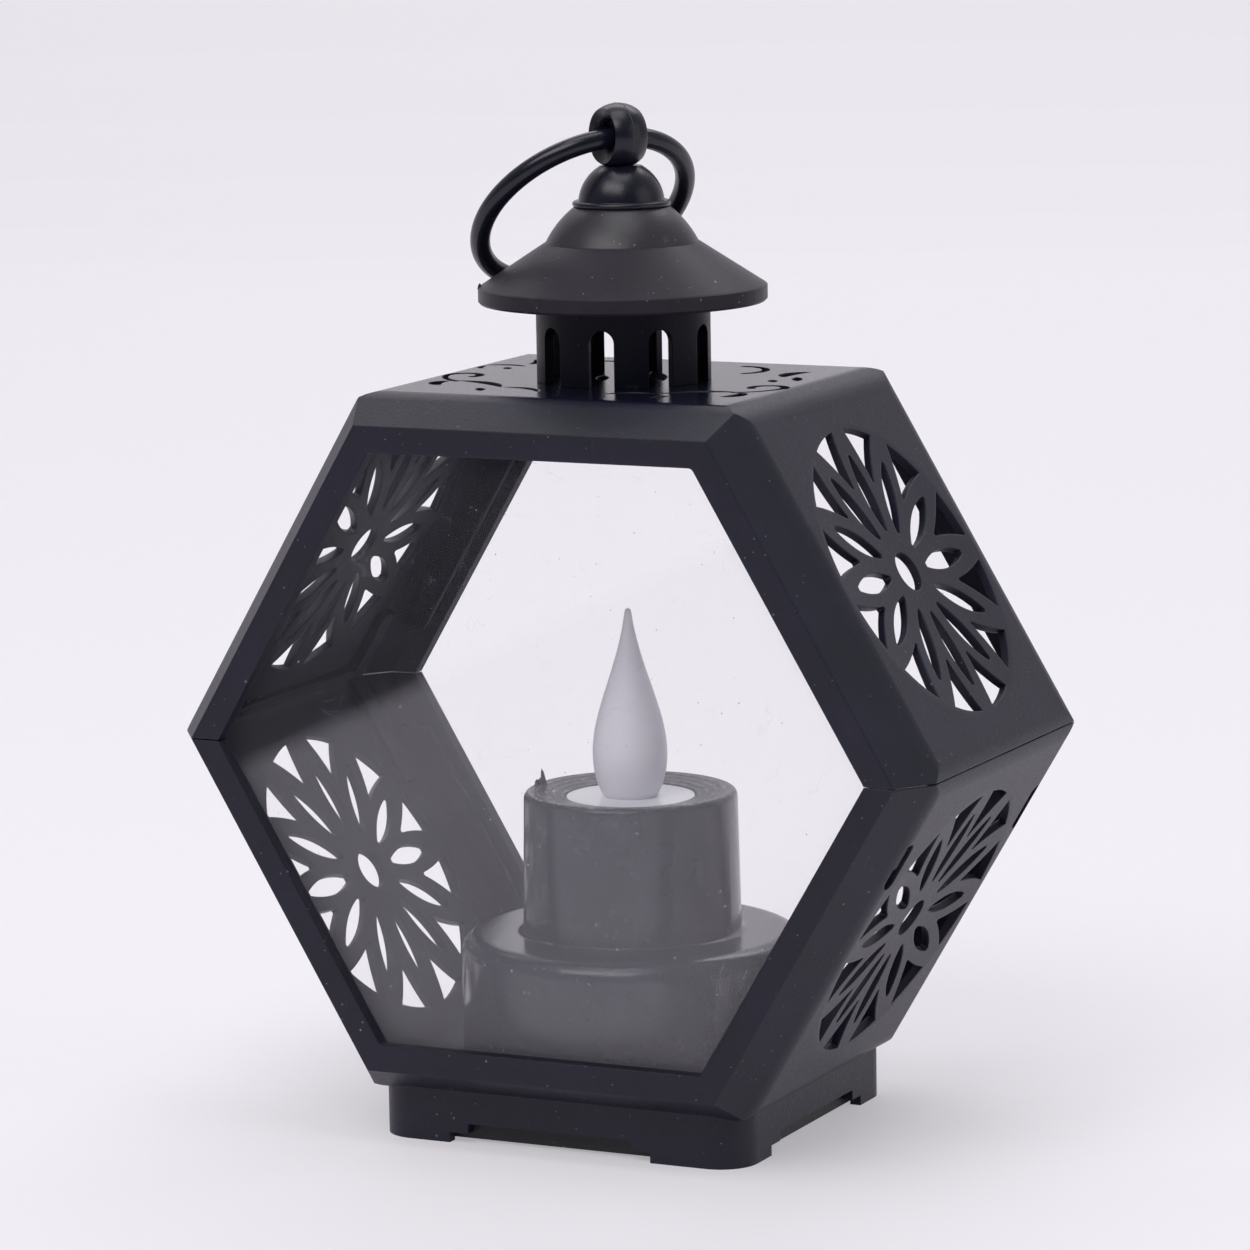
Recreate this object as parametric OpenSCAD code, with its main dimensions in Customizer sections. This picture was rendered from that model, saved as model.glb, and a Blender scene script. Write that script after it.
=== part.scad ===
// Small hexagonal lantern with a battery candle, a vented roof and a swinging ring.
// The part stands on its feet at z = 0, faces -Y, and is measured in millimetres.

/* [Body] */
// Width across the two side points, before they are rounded
body_w = 108.6; // [100:0.2:118]
// Width of the flat top and of the flat bottom, before rounding
flat_w = 54; // [50:0.2:58]
// Height from the bottom flat to the top flat
body_h = 92.2; // [86:0.2:98]
// Depth from the front face to the rear face
body_d = 57.6; // [54:0.2:62]
// How far the bevel draws the front face in from the side walls
bevel_in = 3.7; // [2:0.1:4.5]
// Depth of the bevel, from the face back to the side walls
bevel_d = 6.1; // [4:0.1:7.5]
// Radius that softens the line between a bevel and its wall
bevel_soft_r = 5; // [1:0.5:8]
// Radius of the two side points
point_r = 4.5; // [2:0.5:8]
// Radius of the four corners of the flats
corner_r = 5; // [2:0.5:8]
// Thickness of the moulded walls
wall_t = 1.1; // [0.9:0.05:1.6]
// Width of the flat frame round each window
frame_w = 3.45; // [2.8:0.05:4.2]
// Depth of the frame in front of the pane
frame_d = 2; // [1.4:0.1:2.6]
// Gap of the line where the two halves meet
seam_gap = 0.16; // [0.08:0.02:0.4]

/* [Rosettes] */
// How far each side wall bows in at its middle, as it cools in the mould
wall_bow = 0.7; // [0.3:0.1:1.2]
// Radius of the whole rosette
rosette_r = 20.4; // [17:0.2:21]
// Number of petals
petals = 12; // [8:1:12]
// Radius of the round hole in the middle
rosette_hole_r = 2.75; // [1.5:0.05:3.5]
// Radius at which the petal slots start
petal_start_r = 5.9; // [5:0.1:7]
// Radius at which the petal slots end
petal_end_r = 16.8; // [14:0.1:17]
// Greatest width of a petal slot
petal_slot_w = 2.7; // [1.6:0.1:3]
// Greatest width of a whole petal with its two strips
petal_w = 6.3; // [5.6:0.1:6.8]
// Width of a petal where it meets the outer ring
petal_tip_w = 3.5; // [2.4:0.1:4.5]

/* [Top scrolls] */
// Width of the thin scroll slots in the top
scroll_w = 1.2; // [0.7:0.05:1.3]
// Radius of the open curl near each front corner
curl_r = 2.2; // [2:0.1:2.8]
// Radius of the curl near each rear corner
rear_curl_r = 4.2; // [3.6:0.1:4.6]

/* [Base] */
// Width of the base skirt
skirt_w = 52.8; // [48:0.2:54]
// Depth of the base skirt
skirt_d = 48; // [45:0.2:50]
// Height from the floor to the body's bottom flat
skirt_h = 6.2; // [5.8:0.1:8]
// Thickness of the skirt
skirt_t = 1.5; // [1.2:0.1:2]
// Radius of the skirt's upright corners
skirt_r = 5; // [3:0.5:7]
// Height of the first step between two feet
step_h = 1.35; // [0.8:0.05:1.6]
// Half length of the first step
step_half = 14.5; // [13:0.1:17]
// Length of each small second step
step_run = 2.7; // [1.5:0.1:4]
// How far the front and rear steps sit off the middle
step_shift = -1; // [-2:0.5:2]
// Thickness of the floor under the candle
floor_t = 1.8; // [1.5:0.1:2.4]

/* [Candle] */
// Radius of the wide lower drum
drum_r = 22.7; // [20:0.1:22.9]
// Height of the drum above the floor
drum_h = 17; // [16:0.1:22]
// Radius of the rounding on the drum's shoulder
drum_soft_r = 2.5; // [1:0.1:3.5]
// Radius of the column at its foot
column_r = 14.5; // [13:0.1:16]
// Radius of the column at its rim
column_top_r = 14.15; // [12:0.1:15]
// Height of the column above the drum
column_h = 18.8; // [14:0.1:24]
// Thickness of the candle's moulded wall
candle_t = 1.4; // [1.1:0.1:1.8]
// Radius of the white disc round the flame
disc_r = 8.5; // [7:0.1:10]
// Greatest radius of the flame
flame_r = 4.95; // [4.2:0.05:5.5]
// Height of the flame above the disc
flame_h = 25.05; // [20:0.05:32]
// Radius of the lamp's round body
led_r = 1.5; // [1:0.1:1.8]

/* [Roof] */
// Radius of the roof at its rim
roof_r = 18.9; // [16:0.1:22]
// Height of the roof's upright rim
rim_h = 2.2; // [1.4:0.1:3]
// Height of the straight cone above the rim
cone_h = 5.5; // [4:0.1:8]
// Radius of the bell that stands on the cone
bell_r = 10.05; // [9:0.05:12]
// Height of the bell
bell_h = 4.7; // [3.6:0.1:7]
// Radius at the top of the bell
bell_top_r = 6.2; // [5.6:0.1:7]
// Thickness of the roof
roof_t = 1.4; // [1.1:0.1:1.8]
// Height of the open band between the body and the roof's rim
vent_h = 10.2; // [8.5:0.1:14]
// Outer radius of the vent collar
collar_r = 11.4; // [9.5:0.1:12.4]
// Thickness of the vent collar
collar_t = 1.3; // [1:0.1:1.8]
// Number of arched slots in the collar
vents = 9; // [6:1:12]
// Width of each arched slot
vent_w = 3.4; // [2.4:0.1:4]
// Height of each arched slot above the body's top
vent_top = 7.5; // [6:0.1:8.2]

/* [Finial and ring] */
// Radius of the round flange under the finial
flange_r = 6.42; // [6.2:0.02:8]
// Thickness of the flange
flange_h = 0.8; // [0.6:0.1:1.6]
// Height of the finial's dome above the flange
dome_h = 4.5; // [3.4:0.1:6]
// Radius of the neck under the ball
neck_r = 2.5; // [2.2:0.1:3]
// Height of the neck between dome and ball
neck_h = 0.74; // [0.5:0.02:1.2]
// Radius of the ball
ball_r = 4.13; // [3.8:0.01:4.8]
// Radius of the hole through the ball
eye_r = 2; // [1.9:0.05:2.3]
// Diameter of the ring's wire
ring_wire_d = 2.65; // [2.2:0.05:2.8]
// Radius of the ring, to the middle of its wire
ring_r = 14.43; // [13.9:0.01:18]
// Turn of the ball's hole about the upright axis
ring_yaw = 55.3; // [0:0.1:90]

/* [Battery box] */
// Diameter of one button cell
cell_d = 11.6; // [9.5:0.1:11.6]
// Thickness of one button cell
cell_t = 5.4; // [3:0.1:5.4]
// Number of cells in the row
cells = 3; // [2:1:3]
// Thickness of the bottom cover
cover_t = 1.2; // [1:0.1:1.6]
// Room between the bottom cover and the floor
cover_lift = 0.4; // [0.3:0.1:0.8]
// Travel of the switch slider, from off to on
switch_travel = 2.5; // [1.5:0.1:3]
// Diameter of the small screws' shanks
screw_d = 1.9; // [1.6:0.1:2.2]
// Diameter of the small screws' heads
screw_head_d = 3.6; // [3:0.1:4]

/* [Fits] */
// Loose gap round pieces that drop in
loose = 0.2; // [0.1:0.05:0.3]
// Close gap between pieces that are pressed or screwed together
close = 0.05; // [0.03:0.01:0.08]

/* [Hidden] */
$fn = 96;
eps = 0.01;

// Body outline: half sizes, the slope of a side wall and its length
half_w = body_w / 2;
half_flat = flat_w / 2;
half_h = body_h / 2;
half_d = body_d / 2;
wall_d = half_d - bevel_d;
lean_in = half_w - half_flat;
slope_l = sqrt(half_h * half_h + lean_in * lean_in);
slope_a = atan(lean_in / half_h);
side_reach = half_w * half_h / slope_l;
seam_z = skirt_h + half_h;
top_z = seam_z + half_h;

// Shell interior, pane and ribs
lip_d = half_d - frame_d;
bevel_l = sqrt(bevel_in * bevel_in + bevel_d * bevel_d);
bevel_t = 1.3;
pocket_in = bevel_in - frame_d * bevel_in / bevel_d + bevel_t * bevel_l / bevel_d;
pocket_wall_d = wall_d - (bevel_t * bevel_l - wall_t * bevel_d) / bevel_in;
pane_t = 1;
pane_in = pocket_in + loose;
window_in = bevel_in + frame_w;
rib_t = 1.2;
rib_in = window_in - 1.2;
rib_stop = 7;
rib_y = lip_d - close - pane_t - close;

// Snap tongues that join the two halves at the side points
tongue_w = 3;
tongue_t = 1.1;
tongue_y = pocket_wall_d - 0.1 - tongue_w;
tongue_up = 12;
tongue_down = 17.5;
catch_w = 2.5;
catch_y = wall_d - catch_w;
catch_l = 7;
catch_s = 9.8;
nub_l = 3.2;
rail_h = 3;
rail_t = 1.1;

// Dish of a bowed side wall
bow_r = rosette_r + 0.8;
bow_sphere_r = (bow_r * bow_r + wall_bow * wall_bow) / (2 * wall_bow);

// Base and floor
floor_top = skirt_h + floor_t;
cover_z = cover_lift;
cover_top = cover_z + cover_t;
cover_w = skirt_w - 2 * skirt_t - 2 * loose;
cover_d = skirt_d - 2 * skirt_t - 2 * loose;
screw_r = screw_d / 2;
head_r = screw_head_d / 2;
head_h = 1.3;
boss_r = screw_r + 1.5;
cover_screw_x = cover_w / 2 - boss_r - 1.6;
cover_screw_y = cover_d / 2 - boss_r - 1.6;
pad_top = cover_z + head_h + 0.95;

// Battery well, door and cells, laid along X behind the middle of the base
well_y = 3;
well_l = cells * cell_t + 3.8;
well_w = cell_d + 0.6;
well_t = 1;
cell_z = cover_top + 0.3 + cell_d / 2;
well_top = cell_z + cell_d / 2 + 0.4;
door_l = well_l + 4;
door_w = well_w + 4.3;
door_t = 1.1;
door_z = cover_z + 0.05;
door_screw_x = door_l / 2 + 3;
door_ear_r = 2.9;
door_roll_r = 0.85;
door_roll_x = door_roll_r - door_l / 2;
door_roll_z = door_z + door_roll_r;
door_pin_r = 0.45;
door_pin_l = 0.8;
door_head_h = 0.75;
door_boss_h = 5;
contact_t = 0.3;

// Switch, its board and the pocket that its knob lies in
switch_l = 8.6;
switch_w = 4.4;
switch_h = 3.5;
switch_y = -11;
pocket_up = 2;
switch_z = cover_top + pocket_up - 0.2;
knob_l = 2.2;
knob_w = 1.8;
knob_drop = 2.3;
board_t = 1;
board_l = 14.4;
board_y0 = switch_y - 3.6;
board_y1 = well_y - well_w / 2 - well_t - 0.4;
board_w = board_y1 - board_y0;
board_z = switch_z + switch_h;
stake_r = 0.75;
stake_x = 5.9;
slide_l = 4.6;
slide_w = 2.8;
slide_h = 2;
floor_w = well_l + 2 * well_t + 1;
floor_y0 = board_y0 - 0.4;
floor_y1 = well_y + well_w / 2 + well_t + 0.5;

// Candle heights and fixings
drum_top = floor_top + drum_h;
column_top = drum_top + column_h;
disc_t = 1.2;
dish_h = 0.75;
disc_top = column_top - dish_h - close;
ledge_r = disc_r - 0.9;
candle_fix = [[14.2, -8.6], [-14.2, -8.6], [0, 16.8]];
lock_r = drum_r - candle_t - loose;
lock_h = 1.5;
candle_boss_h = 8;
led_top = disc_top + 4.2;
led_h = 5.3;
disc_post_x = 5.6;
led_board_r = 7.3;
led_board_top = disc_top - disc_t - 4;
wire_r = 0.5;
wire_x = 3;
wire_y = board_y1 - 1;
led_leg_x = 1.27;
flame_bore_r = led_r + 0.5;
flame_foot_r = 3.5;
flame_spigot_r = 2.7;

// Roof, collar, finial and ring heights
rim_z = top_z + vent_h;
cone_z = rim_z + rim_h;
bell_z = cone_z + cone_h;
roof_top = bell_z + bell_h;
collar_top = cone_z + 2.4;
peg_r = 1;
vent_turn = 10.6 - 90;
roof_seat = roof_top - 1.6;
screw_seat_r = 3.2;
peg_at = collar_r - collar_t / 2;
stem_r = 2.5;
dome_z = roof_top + flange_h;
neck_z = dome_z + dome_h;
ball_z = neck_z + neck_h + sqrt(ball_r * ball_r - neck_r * neck_r);
wire_rad = ring_wire_d / 2;
hinge_z = ball_z - (eye_r - wire_rad - 0.32);
// The ring leans until its far side meets the roof's rim
ring_reach = roof_r + wire_rad + 0.32;
ring_lean = acos(ring_reach / (2 * ring_r));

plastic = "#26262b";
clear = [0.8, 0.86, 0.88, 0.35];

// Corner of the hexagon drawn in by e, in the upper right quarter
function corner(e) = [half_flat - e * (slope_l - lean_in) / half_h, half_h - e];
function point(e) = [half_w - e * slope_l / half_h, 0];

// A convex outline whose corners carry arcs: p holds the arc centres, r the radii
// and a the two directions of the edges' normals at each corner
module rounded(p, r, a)
{
    union()
    {
        polygon([for (i = [0:len(p) - 1], k = [0, 1]) p[i] + r[i] * [cos(a[i][k]), sin(a[i][k])]]);
        for (i = [0:len(p) - 1])
            translate(p[i]) circle(r[i]);
    }
}

// Rounded hexagon drawn in by e, standing in the X-Z plane when it is raised
module hexagon(e, side_r, top_r)
{
    c = corner(e + top_r);
    s = point(e + side_r);
    rounded([s, c, [-c.x, c.y], -s, -c, [c.x, -c.y]],
        [side_r, top_r, top_r, side_r, top_r, top_r],
        [[-slope_a, slope_a], [slope_a, 90], [90, 180 - slope_a],
        [180 - slope_a, 180 + slope_a], [180 + slope_a, 270], [270, 360 - slope_a]]);
}

// Hexagonal slab between two depths
module hex_slab(e, side_r, top_r, y0, y1)
{
    translate([0, y1, seam_z])
        rotate([90, 0, 0])
            linear_extrude(y1 - y0) hexagon(e, side_r, top_r);
}

// Long bar whose cross-section holds a pair of opposite walls and their bevels
module bar(reach, face_in, face_d, flat_d, soft)
{
    a = atan(face_in / (face_d - flat_d));
    t = soft * tan(a / 2);
    u = [reach, flat_d] - [0, t];
    v = [reach - t * sin(a), flat_d + t * cos(a)];
    c = [reach - soft, flat_d - t];
    module quarter()
    {
        polygon([[0, -eps], [reach, -eps], u, v, [reach - face_in, face_d], [0, face_d]]);
        translate(c) circle(soft);
    }
    linear_extrude(4 * half_w, center = true)
        for (mx = [0, 1], my = [0, 1])
            mirror([mx, 0]) mirror([0, my]) quarter();
}

// Space bounded by all six walls and their front and rear bevels
module bevelled(e, face_in, face_d, flat_d, soft)
{
    intersection()
    {
        translate([0, 0, seam_z]) rotate([0, 90, 0])
            bar(half_h - e, face_in, face_d, flat_d, soft);
        translate([0, 0, seam_z]) rotate([0, slope_a, 0])
            bar(side_reach - e, face_in, face_d, flat_d, soft);
        translate([0, 0, seam_z]) rotate([0, -slope_a, 0])
            bar(side_reach - e, face_in, face_d, flat_d, soft);
        hex_slab(e, point_r - e, corner_r - e, -face_d, face_d);
    }
}

// Places its children on one of the four side walls: x = 0 on the outer face, -x into the
// body, y along the depth and z up the slope, from the side point
module on_wall(right, upper)
{
    translate([0, 0, seam_z])
        mirror([right ? 0 : 1, 0, 0])
            mirror([0, 0, upper ? 0 : 1])
                translate([half_w, 0, 0])
                    rotate([0, -slope_a, 0])
                        children();
}

// A lens between two arcs of one radius, long axis along X
module lens(length, width)
{
    r = (length * length / 4 + width * width / 4) / width;
    intersection()
    {
        translate([0, width / 2 - r]) circle(r);
        translate([0, r - width / 2]) circle(r);
    }
}

// A curved leaf between two arcs over one chord, from its sagittas, chord along X,
// blunt at both tips
module leaf(chord, rise, fall)
{
    r1 = (chord * chord / 4 + rise * rise) / (2 * rise);
    r2 = (chord * chord / 4 + fall * fall) / (2 * fall);
    blunt = 0.3;
    difference()
    {
        intersection()
        {
            translate([0, rise - r1]) circle(r1);
            translate([blunt - chord / 2, -rise]) square([chord - 2 * blunt, 3 * rise]);
        }
        translate([0, fall - r2]) circle(r2);
    }
}

// A curved slot of constant width with round ends, from angle a to angle b
module arc_slot(r, a, b, w)
{
    far = 3 * r;
    m = (a + b) / 2;
    intersection()
    {
        difference()
        {
            circle(r + w / 2);
            circle(r - w / 2);
        }
        polygon([[0, 0], for (t = [a, (a + m) / 2, m, (m + b) / 2, b]) far * [cos(t), sin(t)]]);
    }
    for (t = [a, b])
        translate(r * [cos(t), sin(t)]) circle(w / 2 - 0.06);
}

// One petal slot, blunt at both ends
module petal_slot()
{
    mid = (petal_start_r + petal_end_r) / 2;
    blunt = 0.7;
    intersection()
    {
        translate([mid, 0]) lens(petal_end_r - petal_start_r + 2 * blunt, petal_slot_w);
        translate([petal_start_r, -petal_slot_w]) square([petal_end_r - petal_start_r, 2 * petal_slot_w]);
    }
}

// The whole rosette as it is cut: hole, petal slots and the gaps between petal tips
module rosette()
{
    mid = (petal_start_r + petal_end_r) / 2;
    out = rosette_r - mid;
    sag = (petal_w - petal_tip_w) / 2;
    side_r = (out * out + sag * sag) / (2 * sag);
    circle(rosette_hole_r);
    for (i = [0:petals - 1])
        rotate(i * 360 / petals) petal_slot();
    difference()
    {
        circle(rosette_r);
        circle(mid + 1.5);
        for (i = [0:petals - 1])
            rotate(i * 360 / petals)
                intersection()
                {
                    translate([mid, petal_w / 2 - side_r]) circle(side_r);
                    translate([mid, side_r - petal_w / 2]) circle(side_r);
                    translate([0, -petal_w]) square([rosette_r + 1, 2 * petal_w]);
                }
    }
}

// Scroll slots of one half of the top, seen from above: s is 0 for the left half
module scrolls(s)
{
    curl = [-22, -3.1];
    translate(curl) arc_slot(curl_r, -32, 188, scroll_w);
    translate(curl + [5.66, 1.06]) arc_slot(7.95, 189, 244, scroll_w * 0.7);
    translate([-15.8, -11.1]) rotate(-28) leaf(10.2, 2.4, 0.5);
    translate([-20.2, -11.4]) rotate(100) leaf(5.2, 2.4, 0.5);
    translate([-7.9, -14.9]) rotate(-25) leaf(7.4, 2.1, 0.8);
    translate([-12.8, -16.3]) rotate(-62) lens(3.2, scroll_w * 1.1);
    translate([-9.8, 13.2]) mirror([1, 0]) arc_slot(rear_curl_r, -48, 96, scroll_w * 0.9);
    if (s == 0)
    {
        translate([-21.5, 7.9]) rotate(5) leaf(6.2, 1.9, 0.8);
        translate([-23.5, 6]) rotate(105) leaf(3.4, 1, 0.1);
        translate([-20, 5.8]) rotate(-60) lens(2.2, scroll_w);
        translate([-20.2, 13.2]) rotate(-72) leaf(5.8, 1.9, 0.3);
    }
    else
    {
        translate([-19.9, 11.2]) rotate(-80) leaf(6.8, 2.4, 0.2);
        translate([-21.8, 6.6]) rotate(65) lens(4.4, scroll_w * 1.2);
        translate([-19.6, 3.7]) rotate(62) lens(2.6, scroll_w * 1.1);
    }
}

// Leaf slots of the top inside the vent collar
module middle_leaves()
{
    translate([2.9, 4.1]) rotate(-58) lens(11, 2.3);
    translate([-3, -0.3]) rotate(-67) lens(6, 1.6);
}

// Strip on the inside of a side wall: y along the depth, z up the slope, d0 and d1 deep
module wall_strip(y, z0, z1, d0, d1)
{
    translate([-d1, y[0], z0]) cube([d1 - d0, y[1] - y[0], z1 - z0]);
}

// The space on one side of the seam
module half(upper)
{
    size = 4 * half_w;
    translate([-size / 2, -size / 2, upper ? seam_z + seam_gap / 2 : seam_z - seam_gap / 2 - size])
        cube(size);
}

// Ribs that hold a pane against the frame, stopped short of the side points
module pane_ribs()
{
    for (s = [1, -1])
        scale([1, s, 1])
            difference()
            {
                hex_slab(0.5, point_r, corner_r, -rib_y, rib_t - rib_y);
                hex_slab(rib_in, 1, 1, -rib_y - 1, rib_t - rib_y + 1);
                translate([-half_w, -rib_y - 1, seam_z - rib_stop])
                    cube([body_w, rib_t + 2, 2 * rib_stop]);
            }
}

// A ball that touches the bowed wall's outer or inner face from outside the body
module bow_ball(deeper)
{
    translate([bow_sphere_r - wall_bow, 0, slope_l / 2])
        sphere(bow_sphere_r + deeper, $fn = 200);
}

// Extra skin inside a bowed wall, so that it keeps its thickness
module bow_skin()
{
    intersection()
    {
        bow_ball(wall_t);
        translate([-wall_t - wall_bow - 1, 0, slope_l / 2])
            rotate([0, 90, 0]) cylinder(r = bow_r + 0.6, h = wall_bow + 1.3);
    }
}

// Everything that is empty inside the body
module body_inside()
{
    difference()
    {
        bevelled(wall_t, pocket_in - wall_t, lip_d, pocket_wall_d, 1);
        pane_ribs();
        for (right = [true, false], upper = [true, false])
            on_wall(right, upper) bow_skin();
    }
}

module windows()
{
    hex_slab(window_in, 0.6, 0.8, -half_d - 1, half_d + 1);
}

// Rosettes and dishes of the two walls on one side of the seam
module wall_cuts(upper)
{
    for (right = [true, false])
        on_wall(right, upper)
        {
            bow_ball(0);
            translate([-wall_t - wall_bow - 2, 0, slope_l / 2])
                rotate([0, 90, 0])
                    linear_extrude(wall_t + wall_bow + 4) rosette();
        }
}

module upper_shell()
{
    color(plastic)
    {
        difference()
        {
            intersection()
            {
                bevelled(0, bevel_in, half_d, wall_d, bevel_soft_r);
                half(true);
            }
            body_inside();
            windows();
            wall_cuts(true);
            translate([0, 0, top_z - wall_t - 1])
                linear_extrude(wall_t + 2)
                {
                    for (s = [0, 1])
                        mirror([s, 0]) scrolls(s);
                    middle_leaves();
                }
            for (i = [0:3:vents - 1])
                rotate(vent_turn + (i + 0.5) * 360 / vents)
                    translate([peg_at, 0, top_z - wall_t - 1])
                        cylinder(r = peg_r + close, h = wall_t + 2, $fn = 32);
        }
        snap_tongues();
    }
}

// Tongues that reach into the lower half and catch in its slots, with the rails between them
module snap_tongues()
{
    inner = wall_t + 0.15;
    for (right = [true, false], s = [1, -1])
        scale([1, s, 1])
        {
            y = [tongue_y, tongue_y + tongue_w];
            intersection()
            {
                on_wall(right, true)
                {
                    wall_strip(y, -2, tongue_up, wall_t - 0.1, wall_t + tongue_t);
                    wall_strip([-eps, tongue_y + 0.5], -2, rail_h, wall_t - 0.1, wall_t + rail_t);
                }
                half(true);
            }
            intersection()
            {
                on_wall(right, false)
                    wall_strip(y, -0.6, tongue_down, inner - 0.3, inner + tongue_t);
                hex_slab(inner, point_r - inner, corner_r - inner, 0, half_d);
            }
            on_wall(right, false)
                wall_strip([catch_y + 0.45, y[1] - 0.05], catch_s + 0.9, catch_s + 0.9 + nub_l,
                    0.4, inner + 0.5);
        }
}

module catch_slots()
{
    for (right = [true, false], s = [1, -1])
        scale([1, s, 1])
            on_wall(right, false)
                translate([-wall_t - 0.5, 0, 0])
                    rotate([0, 90, 0])
                        linear_extrude(wall_t + 2)
                            for (e = [catch_w / 2, catch_l - catch_w / 2])
                            {
                                translate([-catch_s - e, catch_y + catch_w / 2]) circle(catch_w / 2);
                                translate([-catch_s - catch_l + catch_w / 2, catch_y])
                                    square([catch_l - catch_w, catch_w]);
                            }
}

// Flat rectangle with round corners
module rounded_rect(w, d, r)
{
    square([w - 2 * r, d], center = true);
    square([w, d - 2 * r], center = true);
    for (x = [1, -1], y = [1, -1])
        translate([x * (w / 2 - r), y * (d / 2 - r)]) circle(r);
}

// The two steps cut between the feet, seen square on to one side of the skirt
module steps(shift)
{
    long = step_half;
    short = step_half - step_run;
    translate([shift - long, -1]) square([2 * long, step_h + 1]);
    translate([shift - short, -1]) square([2 * short, 2 * step_h + 1]);
}

module skirt()
{
    difference()
    {
        linear_extrude(skirt_h + wall_t - eps) rounded_rect(skirt_w, skirt_d, skirt_r);
        translate([0, 0, -1])
            linear_extrude(skirt_h + 1)
                rounded_rect(skirt_w - 2 * skirt_t, skirt_d - 2 * skirt_t, skirt_r - skirt_t);
        translate([0, skirt_d, 0]) rotate([90, 0, 0])
            linear_extrude(2 * skirt_d) steps(step_shift);
        translate([-skirt_w, 0, 0]) rotate([90, 0, 90])
            linear_extrude(2 * skirt_w) steps(0);
    }
}

module lower_shell()
{
    color(plastic)
        difference()
        {
            union()
            {
                difference()
                {
                    intersection()
                    {
                        bevelled(0, bevel_in, half_d, wall_d, bevel_soft_r);
                        half(false);
                    }
                    body_inside();
                    windows();
                    wall_cuts(false);
                    catch_slots();
                }
                skirt();
                translate([0, 0, skirt_h]) cylinder(r = drum_r + 0.2, h = floor_t);
                translate([0, 0, floor_top - eps]) cylinder(r = lock_r, h = lock_h);
                for (x = [1, -1], y = [1, -1])
                    translate([x * cover_screw_x, y * cover_screw_y, pad_top + close])
                        cylinder(r = boss_r, h = skirt_h - pad_top);
            }
            translate([0, 0, floor_top]) cylinder(r = lock_r - 1.4, h = lock_h + 1);
            translate([0, (floor_y0 + floor_y1) / 2, skirt_h - 1])
                linear_extrude(floor_t + 2) rounded_rect(floor_w, floor_y1 - floor_y0, 1);
            for (x = [1, -1], y = [1, -1])
                translate([x * cover_screw_x, y * cover_screw_y, 0])
                    cylinder(r = screw_r + close, h = skirt_h + wall_t - 0.4, $fn = 32);
            for (p = candle_fix)
                translate([p.x, p.y, 0])
                    cylinder(r = screw_r + 0.15, h = floor_top + 1, $fn = 32);
        }
}

// Pane held between the frame and the ribs at y = y0, toward +Y
module pane(y0)
{
    color(clear) hex_slab(pane_in, 1.2, 1.2, y0, y0 + pane_t);
}

module front_pane() { pane(close - lip_d); }

module rear_pane() { pane(lip_d - close - pane_t); }

// Turned profile from the axis out to an arc of a given sagitta between two points,
// the first of them the lower and wider one
module arc_side(p, q, sag)
{
    d = q - p;
    len = norm(d);
    n = [d.y, -d.x] / len;
    r = (len * len / 4 + sag * sag) / (2 * sag);
    intersection()
    {
        translate((p + q) / 2 - n * (r - sag)) circle(r);
        translate([0, p.y]) square([p.x, d.y]);
    }
}

module roof_cap()
{
    under = roof_t * sqrt(1 + pow(cone_h / (roof_r - bell_r), 2));
    color(plastic)
        rotate_extrude()
            difference()
            {
                union()
                {
                    polygon([[0, rim_z], [roof_r - 0.3, rim_z], [roof_r, rim_z + 0.3],
                        [roof_r, cone_z - 0.2], [roof_r - 0.25, cone_z], [bell_r + 0.15, bell_z],
                        [0, bell_z]]);
                    arc_side([bell_r, bell_z - eps], [bell_top_r, roof_top], 0.35);
                }
                difference()
                {
                    polygon([[0, rim_z - 1], [roof_r - roof_t, rim_z - 1],
                        [roof_r - roof_t, cone_z - 0.6],
                        [collar_r, cone_z - 0.6 + cone_h * (roof_r - roof_t - collar_r) / (roof_r - bell_r)],
                        [0, bell_z]]);
                    translate([collar_r + close, cone_z - 1.2]) square([1.3, 2 * cone_h]);
                    translate([0, collar_top + close]) square([collar_r + 1, cone_h]);
                }
                polygon([[0, collar_top], [collar_r - collar_t - 1.6, collar_top],
                    [screw_seat_r + 1, roof_seat], [0, roof_seat]]);
                translate([0, roof_seat - 1]) square([stem_r + close, roof_top]);
            }
}

module vent_collar()
{
    color(plastic)
    {
        difference()
        {
            translate([0, 0, top_z]) cylinder(r = collar_r, h = collar_top - top_z);
            translate([0, 0, top_z - 1])
                cylinder(r = collar_r - collar_t, h = collar_top - top_z + 2);
            for (i = [0:vents - 1])
                rotate(vent_turn + i * 360 / vents)
                    translate([collar_r - collar_t - 1, 0, top_z + vent_top - vent_w / 2])
                        rotate([90, 0, 90])
                            linear_extrude(collar_t + 2)
                            {
                                circle(vent_w / 2);
                                translate([-vent_w / 2, -vent_top]) square([vent_w, vent_top]);
                            }
        }
        for (i = [0:3:vents - 1])
            rotate(vent_turn + (i + 0.5) * 360 / vents)
                translate([peg_at, 0, 0])
                {
                    translate([0, 0, top_z - wall_t - close - 0.1])
                        cylinder(r = peg_r, h = wall_t + close + 0.5, $fn = 32);
                    translate([0, 0, top_z - wall_t - close - 0.7])
                        cylinder(r = peg_r + 0.6, h = 0.65, $fn = 32);
                }
    }
}

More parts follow.
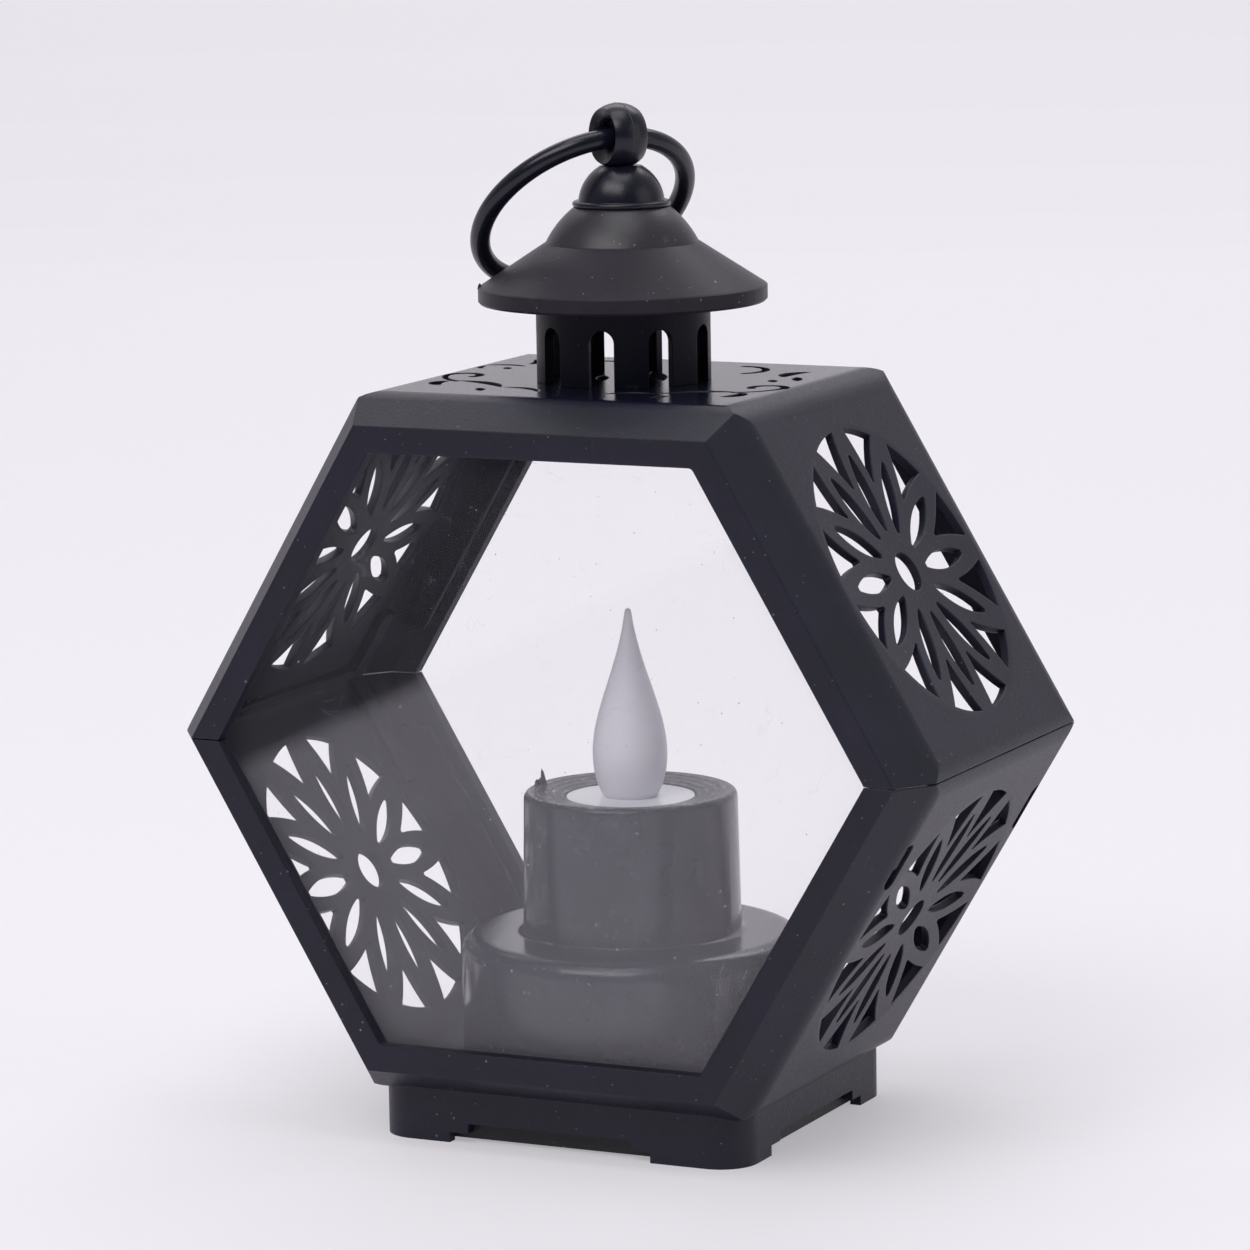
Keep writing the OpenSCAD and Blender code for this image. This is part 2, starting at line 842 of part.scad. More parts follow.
module finial()
{
    color(plastic)
        difference()
        {
            union()
            {
                rotate_extrude()
                {
                    translate([0, roof_top]) square([flange_r - flange_h / 2, flange_h]);
                    translate([flange_r - flange_h / 2, roof_top + flange_h / 2])
                        circle(flange_h / 2);
                    arc_side([flange_r - 0.8, dome_z - eps], [neck_r + 0.45, neck_z - 0.15], 0.6);
                    polygon([[0, neck_z - 0.2], [neck_r + 0.45, neck_z - 0.15 - eps],
                        [neck_r + 0.25, neck_z], [0, neck_z]]);
                    translate([0, neck_z - eps]) square([neck_r, ball_z - neck_z]);
                    translate([0, roof_seat + close]) square([stem_r, roof_top - roof_seat]);
                }
                translate([0, 0, ball_z]) sphere(ball_r);
            }
            translate([0, 0, roof_seat - 1])
                cylinder(r = screw_r + close, h = neck_z - roof_seat - 0.5, $fn = 32);
            translate([0, 0, ball_z])
                rotate([0, 0, ring_yaw])
                    for (s = [1, -1])
                        rotate([0, s * 90, 0])
                        {
                            translate([0, 0, -eps]) cylinder(r = eye_r, h = ball_r + 1);
                            translate([0, 0, ball_r * 0.32])
                                cylinder(r1 = eye_r, r2 = eye_r + 2.4, h = ball_r * 0.76);
                        }
        }
}

// A pan-head screw that points up, with the underside of its head at z = 0
module screw(length, head = head_h)
{
    translate([0, 0, -head])
        difference()
        {
            union()
            {
                cylinder(r1 = head_r - 0.3, r2 = head_r, h = 0.3, $fn = 48);
                translate([0, 0, 0.3]) cylinder(r = head_r, h = head - 0.3, $fn = 48);
                cylinder(r = screw_r, h = head + length - 0.5, $fn = 32);
                translate([0, 0, head + length - 0.5])
                    cylinder(r1 = screw_r, r2 = 0.25, h = 0.5, $fn = 32);
            }
            for (a = [0, 90])
                rotate(a) translate([-1, -0.18, -1]) cube([2, 0.36, 1.5]);
        }
}

module finial_screw()
{
    color("silver")
    {
        translate([0, 0, roof_seat - close]) screw(neck_z - roof_seat - 2.5);
        translate([0, 0, roof_seat - close - 0.45])
            difference()
            {
                cylinder(r = screw_seat_r, h = 0.45);
                translate([0, 0, -1]) cylinder(r = screw_r + close, h = 2, $fn = 32);
            }
    }
}

module ring_handle()
{
    color(plastic)
        translate([0, 0, hinge_z])
            rotate([0, 0, ring_yaw])
                rotate([-ring_lean, 0, 0])
                    translate([0, ring_r, 0])
                        rotate_extrude() translate([ring_r, 0]) circle(ring_wire_d / 2);
}

module candle_housing()
{
    inner_r = drum_r - candle_t;
    bore_r = column_top_r - candle_t;
    color(plastic)
    {
        rotate_extrude()
            difference()
            {
                union()
                {
                    translate([0, floor_top]) square([drum_r, drum_h - drum_soft_r]);
                    translate([0, floor_top]) square([drum_r - drum_soft_r, drum_h]);
                    translate([drum_r - drum_soft_r, drum_top - drum_soft_r]) circle(drum_soft_r);
                    polygon([[0, drum_top - eps], [column_r, drum_top - eps],
                        [column_top_r, column_top - 0.9], [column_top_r - 0.9, column_top],
                        [0, column_top]]);
                    translate([column_top_r - 0.9, column_top - 0.9]) circle(0.9);
                    difference()
                    {
                        translate([column_r - 0.3, drum_top - eps]) square(1.2);
                        translate([column_r + 0.9, drum_top + 1.19]) circle(1.2);
                    }
                }
                translate([0, floor_top - 1]) square([inner_r, drum_h - candle_t + 1]);
                translate([0, floor_top]) square([bore_r, disc_top - disc_t - 1.2 - floor_top]);
                translate([0, floor_top]) square([ledge_r, column_top]);
                translate([0, disc_top - disc_t - close]) square([disc_r + 0.1, column_top]);
                polygon([[0, column_top - dish_h], [disc_r + 0.1, column_top - dish_h],
                    [column_top_r - 1.3, column_top + eps], [0, column_top + 1]]);
            }
        for (p = candle_fix)
            translate([p.x, p.y, floor_top + close])
                difference()
                {
                    cylinder(r = boss_r, h = drum_h - candle_t, $fn = 48);
                    translate([0, 0, -1])
                        cylinder(r = screw_r + close, h = candle_boss_h + 1, $fn = 32);
                }
    }
}

module candle_screws()
{
    color("silver")
        for (p = candle_fix)
            translate([p.x, p.y, skirt_h - close]) screw(floor_t + candle_boss_h - 1.5);
}

module flame_disc()
{
    color("white")
    {
        difference()
        {
            translate([0, 0, disc_top - disc_t]) cylinder(r = disc_r, h = disc_t);
            translate([0, 0, disc_top - disc_t - 1])
                cylinder(r = flame_spigot_r + close, h = disc_t + 2);
        }
        for (s = [1, -1])
            translate([s * disc_post_x, 0, 0])
            {
                translate([0, 0, led_board_top])
                    cylinder(r = 1.1, h = disc_top - disc_t - led_board_top + eps, $fn = 32);
                translate([0, 0, led_board_top - board_t - 0.5])
                    cylinder(r = 0.5, h = board_t + 0.6, $fn = 32);
            }
    }
}

// Points of a cubic curve between two ends
function curve(a, b, c, d, n) = [for (i = [0:n])
    let (t = i / n, u = 1 - t) u * u * u * a + 3 * u * u * t * b + 3 * u * t * t * c + t * t * t * d];

module flame()
{
    belly = 0.23 * flame_h;
    nib = 0.45;
    color([0.93, 0.92, 0.96])
        translate([0, 0, disc_top])
            difference()
            {
                union()
                {
                    rotate_extrude()
                        polygon(concat([[0, 0]],
                            curve([flame_foot_r, 0], [flame_r - 0.35, belly * 0.3],
                                [flame_r, belly * 0.65], [flame_r, belly], 8),
                            curve([flame_r, belly], [flame_r, belly * 2], [flame_r * 0.3, belly * 2.93],
                                [nib, flame_h - nib], 24),
                            [[nib * 0.7, flame_h - nib * 0.3], [0, flame_h]]));
                    translate([0, 0, -disc_t]) cylinder(r = flame_spigot_r, h = disc_t + eps);
                }
                translate([0, 0, -disc_t - 1])
                    cylinder(r = flame_bore_r, h = led_top - disc_top + disc_t + 1.2);
                translate([0, 0, led_top - disc_top + 0.19])
                    cylinder(r1 = flame_bore_r, r2 = 0.5, h = 3);
            }
}

module led()
{
    base = led_top - led_h;
    color([1, 0.95, 0.8])
    {
        translate([0, 0, base]) cylinder(r = led_r, h = led_h - led_r);
        translate([0, 0, led_top - led_r]) sphere(led_r);
        translate([0, 0, base]) cylinder(r = led_r + 0.35, h = 0.9);
        for (s = [1, -1])
            translate([s * led_leg_x, 0, led_board_top])
                cylinder(r = 0.25, h = base - led_board_top + eps, $fn = 24);
    }
}

module led_board()
{
    color("green")
        difference()
        {
            translate([0, 0, led_board_top - board_t]) cylinder(r = led_board_r, h = board_t);
            for (s = [1, -1])
                translate([s * disc_post_x, 0, led_board_top - board_t - 1])
                    cylinder(r = 0.5 + close, h = board_t + 2, $fn = 32);
        }
}

module led_wires()
{
    color("red")
        for (s = [1, -1])
            translate([s * wire_x, wire_y, board_z + board_t])
                cylinder(r = wire_r, h = led_board_top - board_t - board_z - board_t, $fn = 32);
}

// Rectangular wall with square corners, from its outer size
module tube_wall(l, w, t, h)
{
    difference()
    {
        translate([-l / 2, -w / 2, 0]) cube([l, w, h]);
        translate([t - l / 2, t - w / 2, -1]) cube([l - 2 * t, w - 2 * t, h + 2]);
    }
}

module bottom_cover()
{
    pocket_l = switch_l + 2.4;
    pocket_w = switch_w + 1;
    color(plastic)
    {
        difference()
        {
            union()
            {
                translate([0, 0, cover_z])
                    linear_extrude(cover_t) rounded_rect(cover_w, cover_d, skirt_r - skirt_t - loose);
                difference()
                {
                    translate([0, 0, cover_z])
                        linear_extrude(skirt_h - loose - cover_z)
                            rounded_rect(cover_w, cover_d, skirt_r - skirt_t - loose);
                    translate([0, 0, cover_top - eps])
                        linear_extrude(skirt_h)
                            rounded_rect(cover_w - 2.2, cover_d - 2.2, skirt_r - skirt_t - loose - 1.1);
                }
                for (x = [1, -1], y = [1, -1])
                    translate([x * cover_screw_x, y * cover_screw_y, cover_z])
                        cylinder(r = boss_r, h = pad_top - cover_z);
                translate([0, well_y, cover_top - eps])
                    translate([-door_l / 2 - 1.2, -door_w / 2 - 1.8, 0])
                        cube([door_l + 2, door_w + 3.6, 1.4]);
                translate([door_screw_x, well_y, cover_z]) cylinder(r = door_ear_r + 1, h = door_boss_h);
                translate([0, well_y, 0])
                    translate([-well_l / 2 - well_t, -well_w / 2 - well_t, cover_top])
                        cube([well_l + 2 * well_t, well_w + 2 * well_t, well_top - cover_top + well_t]);
                translate([0, switch_y, cover_z])
                    translate([-pocket_l / 2 - 1, -pocket_w / 2 - 1, 0])
                        cube([pocket_l + 2, pocket_w + 2, switch_z - cover_z]);
                for (s = [1, -1])
                    translate([s * stake_x, switch_y, cover_z])
                    {
                        cylinder(r = stake_r + 0.6, h = board_z - cover_z, $fn = 32);
                        cylinder(r = stake_r, h = board_z + board_t - cover_z + 0.2, $fn = 32);
                        translate([0, 0, board_z + board_t - cover_z + close])
                            cylinder(r = stake_r + 0.45, h = 0.6, $fn = 32);
                    }
            }
            for (x = [1, -1], y = [1, -1])
                translate([x * cover_screw_x, y * cover_screw_y, cover_z - 1])
                {
                    cylinder(r = head_r + loose, h = head_h + 1 + close, $fn = 48);
                    cylinder(r = screw_r + 0.15, h = skirt_h, $fn = 32);
                }
            translate([0, well_y, cover_z - 1])
            {
                linear_extrude(cover_t + 1) door_outline(loose);
                translate([-well_l / 2, -well_w / 2, 0]) cube([well_l, well_w, well_top - cover_z + 1]);
                translate([-door_l / 2 - loose, -door_w / 2 - loose, 0])
                    cube([2 * door_roll_r + loose + 0.4, door_w + 2 * loose,
                        door_z - cover_z + 1 + 2 * door_roll_r + 0.15]);
            }
            translate([door_roll_x, well_y, door_roll_z]) rotate([90, 0, 0])
                cylinder(r = door_pin_r + close, h = door_w + 2 * door_pin_l + 0.2, center = true, $fn = 32);
            translate([door_screw_x, well_y, 0])
                cylinder(r = screw_r + close, h = cover_z + door_boss_h - 0.8, $fn = 32);
            translate([-pocket_l / 2, switch_y - pocket_w / 2, cover_z - 1])
                cube([pocket_l, pocket_w, pocket_up + 1]);
            translate([-(knob_l + switch_travel) / 2 - 0.4, switch_y - knob_w / 2 - 0.3, 0])
                cube([knob_l + switch_travel + 0.8, knob_w + 0.6, switch_z + 1]);
        }
    }
}

// Outline of the battery door, grown by g, with the round ear for its screw
module door_outline(g)
{
    square([door_l + 2 * g, door_w + 2 * g], center = true);
    translate([door_screw_x, 0]) circle(door_ear_r + g);
    translate([0, -door_ear_r - g]) square([door_screw_x, 2 * (door_ear_r + g)]);
}

module cover_screws()
{
    color("silver")
        for (x = [1, -1], y = [1, -1])
            translate([x * cover_screw_x, y * cover_screw_y, cover_z + head_h])
                screw(skirt_h + wall_t - 0.8 - cover_z - head_h);
}

module switch_board()
{
    color("tan")
        difference()
        {
            translate([-board_l / 2, board_y0, board_z]) cube([board_l, board_w, board_t]);
            for (s = [1, -1])
                translate([s * stake_x, switch_y, board_z - 1])
                    cylinder(r = stake_r + close, h = board_t + 2, $fn = 32);
        }
}

module switch_body()
{
    color("dimgray")
        difference()
        {
            translate([-switch_l / 2, switch_y - switch_w / 2, switch_z])
                cube([switch_l, switch_w, switch_h]);
            translate([-slide_l / 2 - switch_travel / 2 - 0.15, switch_y - slide_w / 2 - 0.1, switch_z - 1])
                cube([slide_l + switch_travel + 0.3, slide_w + 0.2, slide_h + 1.3]);
        }
}

module switch_slider()
{
    color("black")
        translate([-switch_travel / 2, switch_y, switch_z])
        {
            translate([-slide_l / 2, -slide_w / 2, 0.1]) cube([slide_l, slide_w, slide_h]);
            translate([-knob_l / 2, -knob_w / 2, -knob_drop]) cube([knob_l, knob_w, knob_drop + 0.2]);
        }
}

module button_cells()
{
    color("silver")
        for (i = [0:cells - 1])
            translate([(i - cells / 2) * cell_t, well_y, cell_z])
                rotate([0, 90, 0])
                {
                    translate([0, 0, 0.02]) cylinder(r = cell_d / 2, h = cell_t - 0.9);
                    cylinder(r = cell_d / 2 - 1.2, h = cell_t - 0.04);
                }
}

module plus_contact()
{
    color("gold")
        translate([-cells * cell_t / 2 - contact_t - 0.02, well_y - 4, cover_top + 1.3])
            cube([contact_t, 8, well_top - cover_top - 1.4]);
}

// Flat plate with a bent leaf, free at its upper end, that presses on the last cell
module spring_contact()
{
    reach = well_l / 2 - cells * cell_t / 2 - 0.1;
    mid_z = cell_z - cover_top - 1.3;
    high = 2 * mid_z - 1.2;
    color("gold")
        translate([well_l / 2 - 0.1, well_y + 3, cover_top + 1.3])
            rotate([90, 0, 0])
                linear_extrude(6)
                    polygon([[0, 0], [0, well_top - cover_top - 1.4],
                        [-contact_t, well_top - cover_top - 1.4], [-contact_t, 1.7],
                        [contact_t - reach, mid_z], [contact_t - reach / 2, high],
                        [-reach / 2, high], [-reach, mid_z], [-contact_t, 0.9], [-contact_t, 0]]);
}

module battery_door()
{
    color(plastic)
        difference()
        {
            union()
            {
                difference()
                {
                    translate([0, well_y, door_z]) linear_extrude(door_t) door_outline(0);
                    translate([-door_l, -door_w, 0])
                        cube([door_l / 2 + door_roll_r, 2 * door_w + well_y, 2 * door_t]);
                }
                translate([door_roll_x, well_y, door_roll_z]) rotate([90, 0, 0])
                {
                    cylinder(r = door_roll_r, h = door_w, center = true, $fn = 64);
                    cylinder(r = door_pin_r, h = door_w + 2 * door_pin_l, center = true, $fn = 32);
                }
            }
            translate([door_screw_x, well_y, 0])
            {
                cylinder(r = screw_r + close, h = 3, $fn = 32);
                cylinder(r = head_r + 0.15, h = door_z + door_head_h, $fn = 48);
            }
        }
}

module door_screw()
{
    color("silver")
        translate([door_screw_x, well_y, door_z + door_head_h])
            screw(door_boss_h - 2, door_head_h);
}

upper_shell();
lower_shell();
front_pane();
rear_pane();
roof_cap();
vent_collar();
finial();
finial_screw();
ring_handle();
candle_housing();
candle_screws();
flame_disc();
flame();
led();
led_board();
led_wires();
bottom_cover();
cover_screws();
switch_board();
switch_body();
switch_slider();
button_cells();
plus_contact();
spring_contact();
battery_door();
door_screw();
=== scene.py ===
import math
import random

import bmesh
import bpy
from mathutils import Matrix, Vector


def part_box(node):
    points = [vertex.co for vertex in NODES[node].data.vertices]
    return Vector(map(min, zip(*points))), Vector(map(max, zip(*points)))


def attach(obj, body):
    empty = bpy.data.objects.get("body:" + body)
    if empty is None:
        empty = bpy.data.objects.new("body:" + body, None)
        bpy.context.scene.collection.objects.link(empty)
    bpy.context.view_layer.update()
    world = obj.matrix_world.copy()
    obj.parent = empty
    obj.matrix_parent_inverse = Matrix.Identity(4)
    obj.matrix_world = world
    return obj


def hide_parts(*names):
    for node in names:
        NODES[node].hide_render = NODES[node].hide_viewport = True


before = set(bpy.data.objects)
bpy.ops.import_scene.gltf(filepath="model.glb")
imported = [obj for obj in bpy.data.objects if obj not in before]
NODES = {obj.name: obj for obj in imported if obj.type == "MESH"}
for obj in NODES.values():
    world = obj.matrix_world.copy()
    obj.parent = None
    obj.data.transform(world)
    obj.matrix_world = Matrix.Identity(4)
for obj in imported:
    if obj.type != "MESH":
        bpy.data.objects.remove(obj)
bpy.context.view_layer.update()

bl_info = {
    "name": "Hexagonal lantern",
    "version": (1, 0, 0),
    "blender": (4, 5, 0),
    "location": "3D View > Sidebar > Lantern",
    "description": "Finishes a small hexagonal battery lantern and sets its studio",
    "category": "Object",
}

MM = 0.001

# Places on the solids
SEAM_HEIGHT = 52.3 * MM
TORN_ABOVE = 41.5 * MM
FINIAL_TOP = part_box("finial")[1][2]
BELL_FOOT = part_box("roof_cap")[1][2] - 4.6 * MM
ROOF_EDGE_RADIUS = 18.68 * MM
SWITCH_Y = -11 * MM
BALL_LEAN = math.radians(205.7)

DUST_COLOUR = "#a9a9ae"
TORN_COLOUR = "#85858f"
TRIM_PALE = "#131322"
ZINC = "#c4c6ca"

# The veil on the pane is painted reflection of the pale floor; it ends at a line that climbs to the right with
# this slope, and fades between these heights over the lantern's middle
FLOOR_REFLECTION_SLOPE = 0.47
FLOOR_REFLECTION_FROM = 67.7 * MM
FLOOR_REFLECTION_TO = 70.7 * MM

# The photo's frame, solved from the lantern's own edges
PHOTO_WIDTH_PX = 1250
FOCAL_LENGTH_PX = 5827.2
SENSOR_MM = 36
AIM = Vector((-0.443 * MM, 0, 65.763 * MM))
ROLL = math.radians(-0.899)

# Name, size, share of the light power, place and aim of each light, in metres
LIGHTS = [
    ("softbox_front", (1.1, 0.6), 0.95, (-0.06, -0.85, 1.05), (0, 0, 0.06)),
    ("softbox_right", (0.8, 1.0), 0.2, (1.15, 0.05, 0.42), (0, 0, 0.04)),
    ("softbox_top", (0.7, 0.7), 0.42, (0.05, -0.1, 1.25), (0, 0, 0.06)),
    ("backdrop_wash", (2.2, 1.0), 2.15, (-0.58, 1.35, 1.5), (-0.55, 1.2, 0)),
]


# Colours, nodes and meshes


def linear(hex_code):
    """Turns an sRGB hex value into linear RGBA."""
    out = []
    for i in (0, 2, 4):
        v = int(hex_code.lstrip("#")[i:i + 2], 16) / 255
        out.append(v / 12.92 if v <= 0.04045 else ((v + 0.055) / 1.055) ** 2.4)
    return (*out, 1.0)


def node(tree, kind, settings=(), stops=(), **links):
    """Adds one node, sets its values and a ramp's (place, colour) stops, and links its inputs."""
    n = tree.nodes.new("ShaderNode" + kind)
    for key, value in dict(settings).items():
        if isinstance(key, str) and hasattr(n, key):
            setattr(n, key, value)
        else:
            n.inputs[key].default_value = value
    for i, (place, colour) in enumerate(stops):
        n.color_ramp.elements[i].position = place
        n.color_ramp.elements[i].color = colour
    for key, source in links.items():
        name = int(key[1:]) if key[0] == "i" and key[1:].isdigit() else key.replace("_", " ")
        tree.links.new(source, n.inputs[name])
    return n


def grey(v):
    """A grey of this level as RGBA."""
    return (v, v, v, 1)


def material(name, colour, rough, **sockets):
    """Starts a named material and returns it with its tree and its main shader."""
    m = bpy.data.materials.new(name)
    m.use_nodes = True
    t = m.node_tree
    s = t.nodes["Principled BSDF"]
    s.inputs["Base Color"].default_value = linear(colour)
    s.inputs["Roughness"].default_value = rough
    for key, value in sockets.items():
        s.inputs[key.replace("_", " ")].default_value = value
    m.diffuse_color = linear(colour)
    return m, t, s


def finish_node(name, mat):
    """Puts a material on a frame node without touching its mesh."""
    o = NODES[name]
    if not o.material_slots:
        raise RuntimeError(name + " has no material slot")
    for s in o.material_slots:
        s.material = mat


def new_piece(name, mesh, mat, body):
    """Links a mesh as a named, smooth piece that rides on a body."""
    o = bpy.data.objects.new(name, mesh)
    bpy.context.scene.collection.objects.link(o)
    o.data.materials.append(mat)
    for f in mesh.polygons:
        f.use_smooth = True
    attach(o, body)
    return o


def bm_mesh(name, bm):
    """Turns a working mesh into a named one with its faces outward."""
    me = bpy.data.meshes.new(name)
    bmesh.ops.recalc_face_normals(bm, faces=bm.faces)
    bm.to_mesh(me)
    bm.free()
    return me


def ribbon(bm, points, width, low, high, crown=0.72):
    """Adds a raised stroke along a line of (x, y) points, a little narrower at its face."""
    rows = []
    n = len(points)
    closed = (Vector(points[0]) - Vector(points[-1])).length < 1e-7
    if closed:
        points = points[:-1]
        n -= 1
    for i, p in enumerate(points):
        before = Vector(points[i - 1]) if closed or i else Vector(p)
        after = Vector(points[(i + 1) % n]) if closed or i < n - 1 else Vector(p)
        a = (Vector(p) - before).normalized() if (Vector(p) - before).length else None
        b = (after - Vector(p)).normalized() if (after - Vector(p)).length else None
        a = a or b
        b = b or a
        mid = (a + b).normalized()
        # A mitre, but never longer than twice the stroke's half width
        side = Vector((-mid.y, mid.x)) / max(0.5, mid.dot(a))
        row = []
        for off, z in ((1, low), (crown, high), (-crown, high), (-1, low)):
            q = Vector(p) + side * (off * width / 2)
            row.append(bm.verts.new((q.x, q.y, z)))
        rows.append(row)
    for i in range(n if closed else n - 1):
        r, q = rows[i], rows[(i + 1) % n]
        for k in range(4):
            bm.faces.new((r[k], r[(k + 1) % 4], q[(k + 1) % 4], q[k]))
    if not closed:
        bm.faces.new(rows[0])
        bm.faces.new(rows[-1])


def lathe(bm, side, place, steps=96):
    """Adds a turned form from its (radius, height) points in mm, both ends on the axis."""
    rows = []
    for r, z in side:
        if r < 1e-6:
            rows.append([bm.verts.new(place @ Vector((0, 0, z * MM)))])
            continue
        turns = [2 * math.pi * i / steps for i in range(steps)]
        rows.append([bm.verts.new(place @ Vector((r * MM * math.cos(a), r * MM * math.sin(a), z * MM)))
                     for a in turns])
    for r, q in zip(rows, rows[1:]):
        for i in range(steps):
            k = (i + 1) % steps
            if len(r) == 1:
                bm.faces.new((r[0], q[k], q[i]))
            elif len(q) == 1:
                bm.faces.new((r[i], r[k], q[0]))
            else:
                bm.faces.new((r[i], r[k], q[k], q[i]))


def cut_from(mesh, tool):
    """Returns the mesh with the tool's form cut out of it."""
    pair = [bpy.data.objects.new(m.name, m) for m in (mesh, tool)]
    for o in pair:
        bpy.context.scene.collection.objects.link(o)
    cut = pair[0].modifiers.new("cut", "BOOLEAN")
    cut.operation = "DIFFERENCE"
    cut.solver = "EXACT"
    cut.object = pair[1]
    bpy.context.view_layer.update()
    done = bpy.data.meshes.new_from_object(pair[0].evaluated_get(bpy.context.evaluated_depsgraph_get()))
    for o in pair:
        bpy.data.objects.remove(o)
    return done


def flake(bm, foot, lean, width, height, thick, turn, steps=6):
    """Adds a thin pointed flake of torn plastic that curls as it rises from its foot."""
    rows = []
    for i in range(steps + 1):
        f = i / steps
        half = width / 2 * (1 - f) ** 0.7 * (1 - 0.25 * math.sin(5 * f + turn)) + 0.01 * MM
        mid = Vector(foot) + Vector(lean) * (height * f * (0.5 + 0.5 * f)) + Vector((0, 0, height * f))
        along = Vector((math.cos(turn + 0.8 * f), math.sin(turn + 0.8 * f), 0))
        across = Vector((-along.y, along.x, 0)) * (thick / 2 * (1 - 0.7 * f))
        rows.append([bm.verts.new(mid + d) for d in (along * half, across, -along * half, -across)])
    for r, q in zip(rows, rows[1:]):
        for k in range(4):
            bm.faces.new((r[k], r[(k + 1) % 4], q[(k + 1) % 4], q[k]))
    bm.faces.new(rows[0])
    bm.faces.new(rows[-1])


def ball_centre(w):
    """The middle of the finial's ball, which stands a little off the dome's own."""
    return Vector((math.cos(BALL_LEAN) * w.ball_shift, math.sin(BALL_LEAN) * w.ball_shift,
                   FINIAL_TOP - w.ball_radius))


# Materials


def grain(t, size_mm, depth_mm, edge_mm=0.0):
    """Fine moulded texture over softened edges; returns the normal output and the position node."""
    pos = node(t, "NewGeometry")
    noise = node(t, "TexNoise", {"Scale": 1 / (size_mm * MM), "Detail": 3.0}, Vector=pos.outputs["Position"])
    links = {"Height": noise.outputs["Fac"]}
    if edge_mm:
        edge = node(t, "Bevel", {"Radius": edge_mm * MM, "samples": 6})
        links["Normal"] = edge.outputs["Normal"]
    bump = node(t, "Bump", {"Strength": 1.0, "Distance": depth_mm * MM}, **links)
    return bump.outputs["Normal"], pos


def dust(t, pos, cell_mm, size_mm, share, level):
    """Round specks in a share of the cells; returns a grey value for mixing."""
    cells = node(t, "TexVoronoi", {"Scale": 1 / (cell_mm * MM)}, Vector=pos.outputs["Position"])
    r = size_mm / cell_mm
    dot = node(t, "ValToRGB", stops=[(r * 0.5, grey(level)), (r, grey(0))], i0=cells.outputs["Distance"])
    lot = node(t, "SeparateColor", i0=cells.outputs["Color"])
    kept = node(t, "Math", {"operation": "LESS_THAN", 1: share}, i0=lot.outputs["Red"])
    strength = node(t, "MapRange", {3: 0.35, 4: 1.0}, i0=lot.outputs["Green"])
    dim = node(t, "Math", {"operation": "MULTIPLY"}, i0=kept.outputs["Value"], i1=strength.outputs["Result"])
    speck = node(t, "Math", {"operation": "MULTIPLY"}, i0=dot.outputs["Color"], i1=dim.outputs["Value"])
    return speck.outputs["Value"]


def hairs(t, pos, cell_mm, size_mm, share, level):
    """Short curved hairlines along a few borders of bent cells; returns a grey value."""
    bend = node(t, "TexNoise", {"Scale": 1 / (cell_mm * 0.6 * MM)}, Vector=pos.outputs["Position"])
    push = node(t, "VectorMath", {"operation": "SCALE", "Scale": cell_mm * 0.7 * MM},
                i0=bend.outputs["Color"])
    moved = node(t, "VectorMath", {"operation": "ADD"}, i0=pos.outputs["Position"], i1=push.outputs["Vector"])
    cells = node(t, "TexVoronoi", {"Scale": 1 / (cell_mm * MM), "feature": "DISTANCE_TO_EDGE"},
                 Vector=moved.outputs["Vector"])
    line = node(t, "ValToRGB", stops=[(0.0, grey(level)), (size_mm / cell_mm, grey(0))],
                i0=cells.outputs["Distance"])
    patch = node(t, "TexNoise", {"Scale": 1 / (cell_mm * 0.55 * MM), "Detail": 1.0},
                 Vector=pos.outputs["Position"])
    some = node(t, "MapRange", {1: 0.62 - share, 2: 0.7 - share}, i0=patch.outputs["Fac"])
    hair = node(t, "Math", {"operation": "MULTIPLY"}, i0=line.outputs["Color"], i1=some.outputs["Result"])
    return hair.outputs["Value"]


def total(t, *values):
    """Adds grey values up to one."""
    out = values[0]
    for v in values[1:]:
        out = node(t, "Math", {"operation": "ADD", "use_clamp": True}, i0=out, i1=v).outputs["Value"]
    return out


